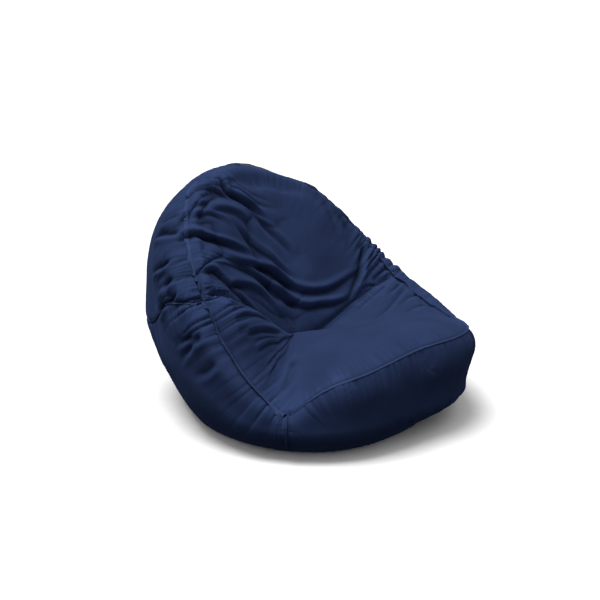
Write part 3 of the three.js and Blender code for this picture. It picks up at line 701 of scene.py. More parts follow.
def grid_faces(index, p):
    """The faces of a grid of points p, numbered by index, turned outward."""
    n = np.cross(np.gradient(p, axis=0), np.gradient(p, axis=1))
    return cells(index) if np.sum(n * (p - MIDDLE)) > 0 else cells(index)[:, ::-1]


# ---- cloth simulation: the cover, cut a little larger than the bag, swells and ripples ----

SIM_FRAMES = 20
SIM_CAP = 0.007  # the furthest that a point may move
SIM_HOLD = 0.04  # how strongly the filling holds the cloth in place
HOLD_LEVELS, HALF_LEVEL = 9, 0.061  # the holds are set in steps of just under twice this
SIM_FOOT, SIM_FOOT_EDGE = 0.03, 0.02  # below this height the cloth doesn't move
SIM_CLOTH = {
    "quality": 6,
    "mass": 0.25,
    "tension_stiffness": 18,
    "compression_stiffness": 18,
    "shear_stiffness": 6,
    "bending_stiffness": 0.4,
    "use_pressure": True,
    "uniform_pressure_force": 3,
    "shrink_min": -0.03,  # the cloth is cut this much larger than the bag
}


def simulated(parts):
    """The grids after the cloth has settled, from one mesh of all the panels."""
    index = shared(parts)
    points = mean_at(index, parts)
    faces = np.concatenate([grid_faces(one, points[one]) for one in index.values()]).tolist()
    mesh = bpy.data.meshes.new("cover_simulation")
    mesh.from_pydata(points.tolist(), [], faces)
    sim = bpy.data.objects.new("cover_simulation", mesh)
    scene = bpy.context.scene
    scene.collection.objects.link(sim)
    modifier = sim.modifiers.new("cloth", "CLOTH")
    held = sim.vertex_groups.new(name="held")
    still = np.maximum(beside_zip(points), smooth((SIM_FOOT - points[:, 2]) / SIM_FOOT_EDGE))
    hold = np.maximum(still, SIM_HOLD)
    for level in np.linspace(SIM_HOLD, 1, HOLD_LEVELS):
        held_points = np.flatnonzero(np.abs(hold - level) <= HALF_LEVEL)
        held.add(held_points.tolist(), float(level), "REPLACE")
    for key, value in SIM_CLOTH.items():
        setattr(modifier.settings, key, value)
    modifier.settings.effector_weights.gravity = 0
    modifier.settings.vertex_group_mass = held.name
    modifier.collision_settings.use_collision = False
    modifier.collision_settings.use_self_collision = False
    for step in range(1, SIM_FRAMES + 1):
        scene.frame_set(step)
    shaped = sim.evaluated_get(bpy.context.evaluated_depsgraph_get()).to_mesh()
    after = np.empty(len(points) * 3)
    shaped.vertices.foreach_get("co", after)
    scene.frame_set(1)
    bpy.data.objects.remove(sim)
    step = after.reshape(-1, 3) - points
    normals = unit(mean_at(index, {name: grid_normals(p) for name, p in parts.items()}))
    swell = np.sum(step * normals, 1).mean()  # the cloth ripples about where it was, on the whole
    step -= normals * (swell * (1 - still))[:, None]
    far = np.linalg.norm(step, axis=1, keepdims=True)
    points = points + step * np.minimum(1, SIM_CAP * np.tanh(far / SIM_CAP) / np.maximum(far, 1e-9))
    return {name: points[one] for name, one in index.items()}


plain = dict(grids)
for name, settled in simulated(coarse_grids).items():
    moved = finer(finer(settled - coarse_grids[name], 0, FINER), 1, FINER)
    plain[name] = grids[name] + moved
cover = welded(grids, {name: finished(name, p) for name, p in plain.items()})


# ---- materials ----


def node(tree, kind, inputs=(), **settings):
    """A node with its settings, and its inputs from a value or from another node's output."""
    made = tree.nodes.new(kind)
    for key, value in settings.items():
        setattr(made, key, value)
    for key, value in dict(inputs).items():
        if isinstance(value, bpy.types.NodeSocket):
            tree.links.new(value, made.inputs[key])
        else:
            made.inputs[key].default_value = value
    return made


def material(name, build):
    """A material; build(tree) makes its nodes and says what goes into the shader."""
    made = bpy.data.materials.new(name)
    made.use_nodes = True
    tree = made.node_tree
    tree.nodes.clear()
    shader = node(tree, "ShaderNodeBsdfPrincipled", build(tree))
    node(tree, "ShaderNodeOutputMaterial", {"Surface": shader.outputs["BSDF"]})
    return made


def in_place(tree):
    return node(tree, "ShaderNodeTexCoord").outputs["Object"]


def noise(tree, place, scale, detail, **more):
    inputs = {"Vector": place, "Scale": scale, "Detail": detail, **more}
    return node(tree, "ShaderNodeTexNoise", inputs).outputs["Fac"]


def wave(tree, place, scale, direction="X", **more):
    inputs = {"Vector": place, "Scale": scale, **more}
    return node(tree, "ShaderNodeTexWave", inputs, bands_direction=direction).outputs["Fac"]


def mixed(tree, share, first, second):
    inputs = {"Factor": share, "A": first, "B": second}
    return node(tree, "ShaderNodeMix", inputs).outputs["Result"]


def mapped(tree, value, to, span=(0, 1)):
    """A value brought from one span to another."""
    limits = zip(("From Min", "From Max", "To Min", "To Max"), (*span, *to))
    return node(tree, "ShaderNodeMapRange", {"Value": value, **dict(limits)}).outputs["Result"]


def bump(tree, height, strength, distance):
    inputs = {"Height": height, "Strength": strength, "Distance": distance}
    return node(tree, "ShaderNodeBump", inputs).outputs["Normal"]


def ramp(tree, fac, stops):
    """A color for each value: the first two stops, in any order, then the ones between them."""
    made = node(tree, "ShaderNodeValToRGB", {"Fac": fac})
    for k, (position, color) in enumerate(stops):
        element = made.color_ramp.elements[k] if k < 2 else made.color_ramp.elements.new(position)
        element.position, element.color = position, (*color, 1)
    return made.outputs["Color"]


def brushed_cloth(dark, middle, light, sheen, roughness):
    """Brushed cotton: soft patches where the nap lies one way or the other, a fine grain, and
    painted shade in the valleys of the folds with painted light on what stands out (the
    attribute "relief")."""

    def build(tree):
        place = in_place(tree)
        patches = noise(tree, place, 9, 4, Roughness=0.6)
        nap = noise(tree, place, 260, 3, Roughness=0.7)
        grain = noise(tree, place, 1400, 2)
        stops = [(0.3, dark), (0.7, light), (0.5, middle)]
        color = ramp(tree, mixed(tree, 0.4, patches, nap), stops)
        # painted shade: the colour is darkened in the valleys of the folds and lightened where the
        # cloth stands out
        raised = node(tree, "ShaderNodeAttribute", attribute_name="relief").outputs["Fac"]
        shaded = {"Vector": color, "Scale": mapped(tree, raised, (0.36, 1.14), (-0.011, 0.004))}
        fold_shaded_color = node(tree, "ShaderNodeVectorMath", shaded, operation="SCALE")
        return {
            "Base Color": fold_shaded_color.outputs["Vector"],
            "Normal": bump(tree, mixed(tree, 0.35, nap, grain), roughness, 0.0006),
            "Roughness": mapped(tree, nap, (0.82, 0.97), (0.3, 0.7)),
            "Sheen Weight": sheen,
            "Sheen Roughness": 0.5,
            "Sheen Tint": (0.2, 0.36, 0.9, 1),
            "Specular IOR Level": 0.08,
        }

    return build


navy = material(
    "navy_brushed_cloth",
    brushed_cloth((0.0125, 0.023, 0.064), (0.0155, 0.028, 0.077), (0.020, 0.035, 0.094), 0.06, 0.25),
)
# a lighter copy of the navy cloth: painted highlight on the seam ridges and the bound strips
navy_highlight_edge = material(
    "navy_seam_painted_highlight",
    brushed_cloth((0.018, 0.032, 0.086), (0.025, 0.044, 0.115), (0.036, 0.060, 0.15), 0.08, 0.3),
)


def thread_surface(tree):
    """Twisted polyester thread."""
    twist = wave(tree, in_place(tree), 700, Distortion=2)
    return {
        "Base Color": ramp(tree, twist, [(0.2, (0.008, 0.013, 0.036)), (0.8, (0.018, 0.028, 0.07))]),
        "Normal": bump(tree, twist, 0.4, 0.0002),
        "Roughness": 0.55,
    }


navy_thread = material("navy_thread", thread_surface)


def bead_surface(tree):
    """Expanded polystyrene beads, each a small white ball, with painted shade between the balls."""
    cells_at = {"Vector": in_place(tree), "Scale": 280}
    away = node(tree, "ShaderNodeTexVoronoi", cells_at).outputs["Distance"]
    return {
        # painted shade: grey towards the edge of each cell, between the balls
        "Base Color": ramp(tree, away, [(0.2, (0.86, 0.86, 0.83)), (0.75, (0.5, 0.5, 0.48))]),
        "Normal": bump(tree, mapped(tree, away, (1, 0)), 0.9, 0.002),
        "Roughness": 0.6,
    }


def woven(dark, light, scale, roughness):
    """A plain weave seen close to: threads one way over threads the other way."""

    def build(tree):
        place = in_place(tree)
        threads = {0: wave(tree, place, scale, "X"), 1: wave(tree, place, scale, "Z")}
        weave = node(tree, "ShaderNodeMath", threads, operation="MULTIPLY").outputs["Value"]
        shade = mixed(tree, 0.45, weave, noise(tree, place, 25, 4))
        return {
            "Base Color": ramp(tree, shade, [(0.15, dark), (0.7, light)]),
            "Normal": bump(tree, weave, 0.5, 0.0003),
            "Roughness": roughness,
            "Sheen Weight": 0.03,
        }

    return build


def moulded(tree):
    """Moulded acetal: near black, with a faint orange-peel skin and rubbed edges."""
    place = in_place(tree)
    rubbed = noise(tree, place, 90, 4)
    return {
        "Base Color": ramp(tree, rubbed, [(0.35, (0.006, 0.009, 0.02)), (0.7, (0.016, 0.022, 0.045))]),
        "Normal": bump(tree, noise(tree, place, 900, 3), 0.15, 0.0002),
        "Roughness": mapped(tree, rubbed, (0.3, 0.55)),
    }


def brushed_metal(dark, light):
    """Cast zinc with a dark finish: fine brush lines, and paler where it is handled."""

    def build(tree):
        place = in_place(tree)
        stretched = node(tree, "ShaderNodeMapping", {"Vector": place, "Scale": (300, 300, 40)})
        lines = noise(tree, stretched.outputs["Vector"], 6, 4)
        return {
            "Base Color": ramp(tree, noise(tree, place, 140, 3), [(0.35, dark), (0.7, light)]),
            "Normal": bump(tree, lines, 0.2, 0.0001),
            "Roughness": mapped(tree, lines, (0.25, 0.5)),
            "Metallic": 1.0,
        }

    return build


def nylon_coil(tree):
    """The turns of a closed nylon coil."""
    turns = wave(tree, in_place(tree), 260, "Z")
    return {
        "Base Color": ramp(tree, turns, [(0.2, (0.5, 0.5, 0.47)), (0.8, (0.8, 0.79, 0.75))]),
        "Normal": bump(tree, turns, 0.8, 0.0006),
        "Roughness": 0.4,
    }


# ---- building pieces ----


def mesh_object(name, vertices, faces, materials):
    mesh = bpy.data.meshes.new(name)
    mesh.from_pydata([tuple(v) for v in vertices], [], [tuple(f) for f in faces])
    made = bpy.data.objects.new(name, mesh)
    bpy.context.scene.collection.objects.link(made)
    for one in materials:
        mesh.materials.append(one)
    mesh.shade_smooth()
    return made


def grid_object(name, points, materials):
    index = np.arange(points.size // 3).reshape(points.shape[:2])
    return mesh_object(name, points.reshape(-1, 3), grid_faces(index, points), materials)


def attach(piece, nodes):
    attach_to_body(piece, "body")
    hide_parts(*nodes)


def to_world(points):
    return np.asarray(points) + OFFSET


HEM_DEPTH, HEM_WIDTH, HEM_SINK = 0.0024, 0.008, 0.0006


def hemmed(name, points, normals, values):
    """Turns the cover's edge in beside the zip, as a hem. Each point's value is 0 in the hem."""
    if "wing" not in name and "side" not in name:
        return points, values
    edge, inner = (-1, -2) if "left" in name else (0, 1)
    back = unit(points[inner] - points[edge])
    turned = points[edge] - HEM_DEPTH * normals[edge]
    under = turned + HEM_WIDTH * back - HEM_SINK * normals[edge]
    for row in turned, under:
        row[:, 2] = np.maximum(row[:, 2], FLOOR_GAP)
    none = np.zeros((2, values.shape[1]))
    if edge == 0:
        return np.concatenate([[under, turned], points]), np.concatenate([none, values])
    return np.concatenate([points, [turned, under]]), np.concatenate([values, none])


NORMALS = {name: grid_normals(points) for name, points in cover.items()}
for name, points in cover.items():
    hem, stands_out = hemmed(name, points, NORMALS[name], relief[name])
    piece = grid_object(name + "_cover", to_world(hem), [navy])
    # the fold heights, which paint shade into the cloth's colour in the valleys and light on the
    # raised cloth
    piece.data.attributes.new("relief", "FLOAT", "POINT").data.foreach_set("value", stands_out.ravel())
    attach(piece, [name + "_panel"])


# ---- closed bodies from grids and lines ----


def outward(points, faces):
    """The faces of a closed body, turned so that they face out."""
    volume = 0.0
    for face in faces:
        a, b, c = (points[face[k]] for k in (0, 1, 2))
        volume += (len(face) - 2) * np.dot(a, np.cross(b, c))
    return faces if volume > 0 else [face[::-1] for face in faces]


def closed_grid(name, points, normals, thickness, materials):
    """A sheet with a face, a back and a rounded edge all round."""
    n, m = points.shape[:2]
    half = normals * thickness / 2
    layers = np.stack([points + half, points - half])
    index = np.arange(n * m).reshape(n, m)
    face = cells(index)
    back = face[:, ::-1] + n * m
    rim = np.concatenate([index[:-1, 0], index[-1, :-1], index[:0:-1, -1], index[0, :0:-1]])
    after = np.roll(rim, -1)
    wall = np.stack([rim, rim + n * m, after + n * m, after], -1)
    points = layers.reshape(-1, 3)
    return mesh_object(name, points, outward(points, np.concatenate([face, back, wall])), materials)


def swept(line, across, up, section):
    """Points and faces of a closed bar along a line: one frame (across and up) and one section
    (x across, y up) for the whole line, or one for each of its points."""
    section = np.broadcast_to(section, (len(line), *section.shape[-2:]))
    across, up = (np.broadcast_to(one, line.shape)[:, None] for one in (across, up))
    count, around = section.shape[:2]
    points = line[:, None] + across * section[..., :1] + up * section[..., 1:]
    index = np.arange(count * around).reshape(count, around)
    after = np.roll(index, -1, axis=1)
    quads = np.stack([index[:-1], after[:-1], after[1:], index[1:]], -1).reshape(-1, 4)
    ends = [list(index[0][::-1]), list(index[-1])]
    return points.reshape(-1, 3), [list(q) for q in quads] + ends


def joined_mesh(name, parts, materials):
    """One object from several (points, faces, material slot) parts."""
    points, faces, slots = [], [], []
    start = 0
    for part_points, part_faces, slot in parts:
        points.append(part_points)
        faces += [[start + int(k) for k in face] for face in outward(part_points, part_faces)]
        slots += [slot] * len(part_faces)
        start += len(part_points)
    made = mesh_object(name, np.concatenate(points), faces, materials)
    made.data.polygons.foreach_set("material_index", slots)
    return made


# ---- seams: the turned-up allowance of two panels, with its row of stitches ----

ALLOWANCE = [  # half section of a seam: x across, y as a share of its height
    (0.0013, -0.2),
    (0.0014, 0.15),
    (0.0012, 0.7),
    (0.0013, 0.92),
    (0.0008, 1.02),
    (0.0002, 0.86),
]
BOTH_SIDES, STITCH_HIGH = 0.0015, 0.0019  # stitches, from the middle of a seam and up its side
RIDGE_STEP, RIDGE_END = 0.005, 0.014  # spacing of its points, and over how much it rises


def seam(name, line, normals, height, lean, seed):
    """A ridge along a seam. `lean` tips it over to one side, in degrees."""
    far, line, (normals,) = resampled(line, [normals], RIDGE_STEP)
    normals = unit(normals)
    along = unit(np.gradient(line, axis=0))
    across = unit(np.cross(along, normals))
    where = np.stack([far * 22, 0 * far, 0 * far], -1)
    wobble = value_noise(where, seed)
    tip = np.radians(lean + 16 * wobble)
    up = normals * np.cos(tip)[:, None] + across * np.sin(tip)[:, None]
    side = np.cross(along, up)
    tall = height * (1 + 0.16 * value_noise(where * 1.7, seed + 1))
    ends = np.minimum(far, far[-1] - far) / RIDGE_END
    tall = tall * np.clip(ends, 0.25, 1) ** 0.5
    half = np.array(ALLOWANCE)
    section = np.concatenate([half, half[::-1] * [-1, 1]])
    shape = np.stack([section] * len(line))
    shape[..., 1] *= tall[:, None]
    parts = [(*swept(line, side, up, shape), 0)]
    for across in (BOTH_SIDES, -BOTH_SIDES):
        parts += stitches(line, side, up, across, STITCH_HIGH)
    return joined_mesh(name, parts, [navy_highlight_edge, navy_thread])


STITCH, STITCH_STEP, THREAD = 0.0034, 0.0050, 0.00038
STITCH_ENDS = np.array([(-0.5, 0.35), (-0.3, 1), (0.3, 1), (0.5, 0.35)])  # along, and how thick


def stitches(line, side, up, across, high):
    """A row of short thread stitches beside a line."""
    row = line + side * across + up * high
    far, row, (side, up) = resampled(row, [side, up], STITCH_STEP)
    along = unit(np.gradient(row, axis=0))
    ring = np.array([(math.cos(a), math.sin(a)) for a in np.radians([0, 72, 144, 216, 288])]) * THREAD
    at, thick = STITCH_ENDS.T
    parts = []
    for k in range(1, len(row) - 1):
        bar = row[k] + along[k] * at[:, None] * STITCH
        parts.append((*swept(bar, side[k], up[k], ring * thick[:, None, None]), 1))
    return parts


def edge(*pieces):
    """A seam line and its normals, from one or more (panel, index) of the finished cover."""
    line = np.concatenate([cover[name][index] for name, index in pieces])
    normals = np.concatenate([NORMALS[name][index] for name, index in pieces])
    keep = np.concatenate([[True], np.linalg.norm(np.diff(line, axis=0), axis=1) > 1e-6])
    return line[keep], normals[keep]


CORNER_ROWS = slice(0, int(0.8 * FINER * WALL_ROWS))  # the corner seams end above the floor
SIDE_LEFT_RIM = (slice(LEFT_END, None, -1), 0)  # the first rows of the sides, from the crease out
SIDE_RIGHT_RIM = (slice(None, FINER * REAR_COLUMNS - 1, -1), 0)
SEAMS = {  # the edge on both sides of the seam, its height and its lean
    "top_edge": (
        edge(("back_rest", LAST_ROW)),
        edge(("left_wing", FIRST_ROW), ("right_wing", (slice(1, None), 0))),
        *(0.011, -50),
    ),
    "left_seat": (edge(("seat", SEAT_LEFT)), edge(("left_side", SIDE_LEFT_RIM)), 0.011, 45),
    "right_seat": (edge(("seat", SEAT_RIGHT)), edge(("right_side", SIDE_RIGHT_RIM)), 0.007, 40),
    "front": (edge(("seat", SEAT_FRONT)), edge(("front", FIRST_ROW)), 0.004, 75),
    "left_corner": (
        edge(("front", (FIRST_COLUMN, CORNER_ROWS))),
        edge(("left_side", (FIRST_COLUMN, CORNER_ROWS))),
        *(0.007, 20),
    ),
    "right_corner": (
        edge(("front", (LAST_COLUMN, CORNER_ROWS))),
        edge(("right_side", (LAST_COLUMN, CORNER_ROWS))),
        *(0.007, -20),
    ),
    "left_wing": (edge(("left_wing", LAST_ROW)), None, 0.006, 45),
    "right_wing": (edge(("right_wing", LAST_ROW)), None, 0.006, 45),
}
for k, (name, ((line, normals), other, height, lean)) in enumerate(SEAMS.items()):
    if other:
        normals = unit(normals + other[1])
    piece = seam(name + "_seam_ridge", to_world(line), normals, height, lean, 80 + 3 * k)
    attach(piece, [name + "_seam"])


# ---- inside: the beads and the liner, parallel to the cover ----


def closed_at_rear(name, p):
    """The grid with its edge beside the zip moved to the middle, so that left and right meet."""
    p = p.copy()
    if name in ("left_side", "left_wing"):
        p[-1, :, 0] = 0
    if name in ("right_side", "right_wing"):
        p[0, :, 0] = 0
    return p


BODY = shared({name: closed_at_rear(name, p) for name, p in coarse_grids.items()})
BODY_NORMALS = unit(mean_at(BODY, {name: grid_normals(p) for name, p in coarse_grids.items()}))
BODY_POINTS = mean_at(BODY, {name: closed_at_rear(name, p[coarse]) for name, p in sunk.items()})
FOOT = np.concatenate(
    [BODY["front"][:, -1], BODY["right_side"][::-1, -1][1:], BODY["left_side"][::-1, -1][1:-1]]
)
FOOT_SHARES = np.array([0.85, 0.65, 0.45, 0.25, 0.08])


def floor_disc(loop, height, sag):
    """Rings from a loop in towards its middle, flat on the floor."""
    middle = loop.mean(0) * [1, 1, 0]
    rings = middle + (loop * [1, 1, 0] - middle) * FOOT_SHARES[:, None, None]
    return rings + [0, 0, height] + [0, 0, 1] * (sag * value_noise(rings * 30, 31))[..., None]


CREASE_SINK, CREASE_SINK_REACH = 0.045, 0.06  # what lies inside keeps clear of the crease
CREASE_LINE = BODY_POINTS[BODY["seat"][:, 0]]
FROM_CREASE = np.linalg.norm(BODY_POINTS[:, None] - CREASE_LINE, axis=2).min(1)
SINK = CREASE_SINK * np.exp(-((FROM_CREASE / CREASE_SINK_REACH) ** 2))
FLOOR_SHARE = 0.4  # of its depth, how far above the floor an inner body stops


def inner_body(depth, crinkle):
    """The points and faces of a body inside the cover, at a depth below it."""
    inner = BODY_POINTS - BODY_NORMALS * depth
    inner = inner + unit(MIDDLE - inner) * SINK[:, None]
    inner = inner + BODY_NORMALS * (crinkle * value_noise(inner * 60, 32))[:, None]
    inner[:, 2] = np.maximum(inner[:, 2], depth * FLOOR_SHARE)
    rings = floor_disc(inner[FOOT], depth * FLOOR_SHARE, crinkle)
    faces = np.concatenate([grid_faces(index, BODY_POINTS[index]) for index in BODY.values()])
    around = len(FOOT)
    loops = np.concatenate([FOOT[None], len(inner) + np.arange(rings.size // 3).reshape(-1, around)])
    loops = np.concatenate([loops, loops[:, :1]], 1)
    points = np.concatenate([inner, rings.reshape(-1, 3)])
    floor_faces = grid_faces(loops, points[loops])
    return points, np.concatenate([faces, floor_faces]).tolist(), loops[-1][:-1].tolist()


def without_strays(points, faces):
    """Only the points that the faces use."""
    used = sorted({k for face in faces for k in face})
    new = {old: k for k, old in enumerate(used)}
    return points[used], [[new[k] for k in face] for face in faces]


liner_cloth = material("liner_cloth", woven((0.62, 0.61, 0.57), (0.86, 0.85, 0.81), 500, 0.8))

points, faces, hole = inner_body(FILL_DEPTH, 0.0006)
piece = mesh_object(
    "bead_filling", to_world(points), faces + [hole], [material("white_beads", bead_surface)]
)
attach(piece, ["bead_fill"])

points, faces, hole = inner_body(LINER_DEPTH, 0.0015)
for side, word in ((-1, "left"), (1, "right")):
    half = [face for face in faces if side * points[face, 0].mean() > 0]
    piece = mesh_object(f"liner_{word}_shell", *without_strays(to_world(points), half), [liner_cloth])
    attach(piece, [f"liner_{word}_half"])

foot_loop = BODY_POINTS[np.append(FOOT, FOOT[0])] * [1, 1, 0]
disc = np.concatenate([foot_loop[None] * 0.998, floor_disc(foot_loop, 0, 0)])
disc[..., 2] = 0.0006 + 0.0005 * np.abs(value_noise(disc * 25, 33))
base_cloth = material("base_cloth", woven((0.008, 0.012, 0.03), (0.02, 0.03, 0.07), 450, 0.85))
piece = grid_object("base_cloth", to_world(disc), [base_cloth])
attach(piece, ["base_panel"])

line, normals = edge(("seat", FIRST_ROW))
piece = seam("seat_back_seam_fold", to_world(line), -normals, 0.006, 0, 120)
attach(piece, ["seat_back_seam"])


# ---- rear: bound strips above and below the zip, tapes and teeth ----

STRIP_HALF, STRIP_THICK, STRIP_CURVE, STRIP_STEP = 0.0075, 0.0016, 12, 0.006
STRIP_STITCH = 0.8  # the share of the half width at which its stitches run


RIGHTWARD = np.array([1.0, 0, 0])


def bound_strip(name, left, right, low, high):
    """A flat strip over the gap between the two edges of the cover, from one height to another."""
    line = (cover[left][-1] + cover[right][0]) / 2
    normals = unit(NORMALS[left][-1] + NORMALS[right][0])
    inside = (line[:, 2] > low) & (line[:, 2] < high)
    line, normals = line[inside], normals[inside]
    far, line, (normals,) = resampled(line, [normals], STRIP_STEP)
    normals = unit(normals)
    x = np.linspace(-STRIP_HALF, STRIP_HALF, 9)
    arch = np.stack([x, STRIP_THICK - STRIP_CURVE * x * x], -1)
    shape = np.stack([np.concatenate([arch, arch[::-1] - [0, STRIP_THICK]])] * len(line))
    shape[..., 0] *= 1 + 0.04 * value_noise(np.stack([far * 60, 0 * far, 0 * far], -1), 90)[:, None]
    parts = [(*swept(line, RIGHTWARD, normals, shape), 0)]
    for at in (-STRIP_STITCH * STRIP_HALF, STRIP_STITCH * STRIP_HALF):
        across = np.broadcast_to(RIGHTWARD, line.shape)
        parts += stitches(line, across, normals, at, 0.0020 - STRIP_CURVE * at * at)
    parts = [(to_world(points), faces, slot) for points, faces, slot in parts]
    return joined_mesh(name, parts, [navy_highlight_edge, navy_thread])


for word, *panels_and_heights in (
    ("upper", "left_wing", "right_wing", 0.556, 0.690),
    ("lower", "left_side", "right_side", 0.034, 0.189),
):
    piece = bound_strip(f"rear_{word}_binding", *panels_and_heights)
    attach(piece, [f"rear_{word}_seam"])

ZIP_ACROSS = -RIGHTWARD
ZIP_OUT = np.cross(ZIP_ACROSS, ZIP_ALONG)


def on_zip(points):
    """Points given across, along and out of the zip, in ring coordinates."""
    points = np.asarray(points, float)
    return (
        ZIP_LOW
        - ZIP_DEPTH * ZIP_OUT
        + points[..., :1] * ZIP_ACROSS
        + points[..., 1:2] * ZIP_ALONG
        + points[..., 2:] * ZIP_OUT
    )


TAPE_EDGE, TAPE_WIDTH, TAPE_THICK, TAPE_OVER = 0.0033, 0.015, 0.0008, 0.004
TAPE_RIPPLE, TAPE_RIPPLE_REACH = 0.0001, 0.002  # the teeth press small waves into its edge
TOOTH_PITCH, TOOTH_ROOT, TOOTH_TIP, CORD_RADIUS = 0.003, 0.0031, 0.0004, 0.00062
TOOTH_START = 0.002  # the first tooth, from the lower end of the zip
TOOTH = np.array(  # one moulded tooth: out from its root, half its width and half its height
    [
        (0.0, 0.0007, 0.0011),
        (0.45, 0.0006, 0.0011),
        (0.62, 0.00095, 0.0010),
        (0.9, 0.00095, 0.0010),
        (1.0, 0.0006, 0.0007),
    ]
)
TOOTH_CORNERS = np.array(
    [(1, 0.6), (0.7, 1), (-0.7, 1), (-1, 0.6), (-1, -0.6), (-0.7, -1), (0.7, -1), (1, -0.6)]
)


def tape(side):
    """The points and normals of one tape."""
    x = side * np.linspace(TAPE_EDGE, TAPE_EDGE + TAPE_WIDTH, 13)
    y = np.linspace(-TAPE_OVER, ZIP_LENGTH + TAPE_OVER, 121)
    x, y = np.meshgrid(x, y, indexing="ij")
    ripple = TAPE_RIPPLE * np.cos(y / TOOTH_PITCH * 2 * math.pi)
    z = ripple * np.exp(-np.abs(np.abs(x) - TAPE_EDGE) / TAPE_RIPPLE_REACH)
    return to_world(on_zip(np.stack([x, y, z], -1))), np.broadcast_to(ZIP_OUT, (*x.shape, 3))


def teeth(side, shift):
    """Moulded teeth on their edge cord."""
    around = np.radians(np.arange(8) * 45)
    ring = np.stack([np.cos(around), np.sin(around)], -1) * CORD_RADIUS
    along = np.linspace(0, ZIP_LENGTH, 60)
    cord = on_zip(np.stack([0 * along + side * TOOTH_ROOT, along, 0 * along], -1))
    parts = [swept(cord, ZIP_ACROSS, ZIP_OUT, ring)]
    x = side * (TOOTH_ROOT + (TOOTH_TIP - TOOTH_ROOT) * TOOTH[:, 0])
    section = TOOTH_CORNERS * TOOTH[:, None, 1:]
    for k in range(int((ZIP_LENGTH - 2 * TOOTH_START) / TOOTH_PITCH)):
        y = TOOTH_START + k * TOOTH_PITCH + shift
        centre = on_zip(np.stack([x, 0 * x + y, 0 * x], -1))
        parts.append(swept(centre, ZIP_ALONG, ZIP_OUT, section))
    return [(to_world(points), faces, 0) for points, faces in parts]


tape_weave = material("zip_tape_weave", woven((0.007, 0.011, 0.028), (0.022, 0.034, 0.08), 900, 0.8))
zip_plastic = material("zip_moulded_plastic", moulded)
for side, word, shift in ((1, "left", 0), (-1, "right", TOOTH_PITCH / 2)):
    piece = closed_grid(f"zip_{word}_woven_tape", *tape(side), TAPE_THICK, [tape_weave])
    attach(piece, [f"zip_{word}_tape"])
    piece = joined_mesh(f"zip_{word}_tooth_row", teeth(side, shift), [zip_plastic])
    attach(piece, [f"zip_{word}_teeth"])

gunmetal = material("gunmetal", brushed_metal((0.09, 0.095, 0.11), (0.24, 0.245, 0.26)))
pale_metal = material("nickel", brushed_metal((0.38, 0.38, 0.37), (0.6, 0.59, 0.57)))
KEPT = {
    "zip_slider": gunmetal,
    "zip_pull": gunmetal,
    "zip_top_stop": gunmetal,
    "zip_bottom_stop": gunmetal,
    "liner_zip_slider": pale_metal,
    "liner_zip_tape": liner_cloth,
    "liner_zip_coil": material("nylon_coil", nylon_coil),
}
for name, finish in KEPT.items():
    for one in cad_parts[name].material_slots:
        one.material = finish


# ---- handle and label ----

HANDLE_FROM, HANDLE_TO, HANDLE_RISE = 84, 54, 0.010
HANDLE_TOP, HANDLE_LOW = 0.012, 0.082  # down the wall
HANDLE_SEWN = 0.45  # the share of its width over which the strap comes out of the top seam
HANDLE_CURL, HANDLE_WAVE = 0.0012, 0.0010
WEBBING = 0.0024
CLEAR, CLEAR_SEWN = 0.0015, 0.003  # how far the strap stays off the cover, and more where it is free


def standing(points, normals, names):
    """How far the finished cover stands out from each of some points of the smooth body."""
    skin = np.concatenate([cover[name].reshape(-1, 3) for name in names])
    flat = points.reshape(-1, 3)
    near = np.array([skin[np.argmin(np.sum((skin - p) ** 2, 1))] for p in flat])
    return np.sum((near - flat) * normals.reshape(-1, 3), 1).reshape(points.shape[:2])


def wall_patch(angles, downs):
    """The points and normals of a grid on the wall."""
    base = wall_point(*np.meshgrid(angles, downs, indexing="ij"))
    return base, grid_normals(base)


def strap():
    """The points and normals of the carry strap, which follows the finished cover."""
    angles = np.linspace(HANDLE_FROM, HANDLE_TO, 49)
    base, normals = wall_patch(angles, np.linspace(HANDLE_TOP, HANDLE_LOW, 9))
    share = np.linspace(0, 1, 49)[:, None]
    stands = standing(base, normals, ["right_wing", "left_wing"]).mean(1)
    stands = np.polyval(np.polyfit(share[:, 0], stands, 3), share)
    sewn_in = smooth(np.linspace(0, 1, 9) / HANDLE_SEWN)
    bow = HANDLE_RISE * np.sin(math.pi * share) ** 0.7
    lift = stands + CLEAR + (CLEAR_SEWN + bow) * sewn_in
    curl = HANDLE_CURL * np.cos(np.linspace(-1, 1, 9) * math.pi) * np.sin(math.pi * share)
    wave = HANDLE_WAVE * value_noise(np.stack([share * 7, 0 * share, 0 * share], -1), 95)
    return base + normals * (lift + curl + wave)[..., None], normals


points, normals = strap()
webbing = material("strap_webbing", woven((0.010, 0.017, 0.047), (0.021, 0.035, 0.09), 420, 0.9))
band = closed_grid("carry_handle_band", to_world(points), normals, WEBBING, [webbing])
attach(band, ["carry_handle"])
sewn = []
face = points + normals * WEBBING / 2
for k in (1, 3, -4, -2):  # across the strap, near its two ends
    sewn += stitches(face[k], unit(points[k + 1] - points[k]), normals[k], 0, 0.0001)
for k in (1, -2):  # and along its two edges
    sewn += stitches(face[:, k], unit(points[:, k] - points[:, k - 1]), normals[:, k], 0, 0.0001)
sewn = [(to_world(points), faces, 0) for points, faces, _ in sewn]
sewing = joined_mesh("carry_handle_stitching", sewn, [navy_thread])
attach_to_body(sewing, "body")

LABEL_FROM, LABEL_TO, LABEL_TOP, LABEL_LOW = 74, 78, 0.66, 0.74
LABEL_CLEAR, LABEL_CURL, LABEL_THICK = 0.0006, 0.004, 0.0005

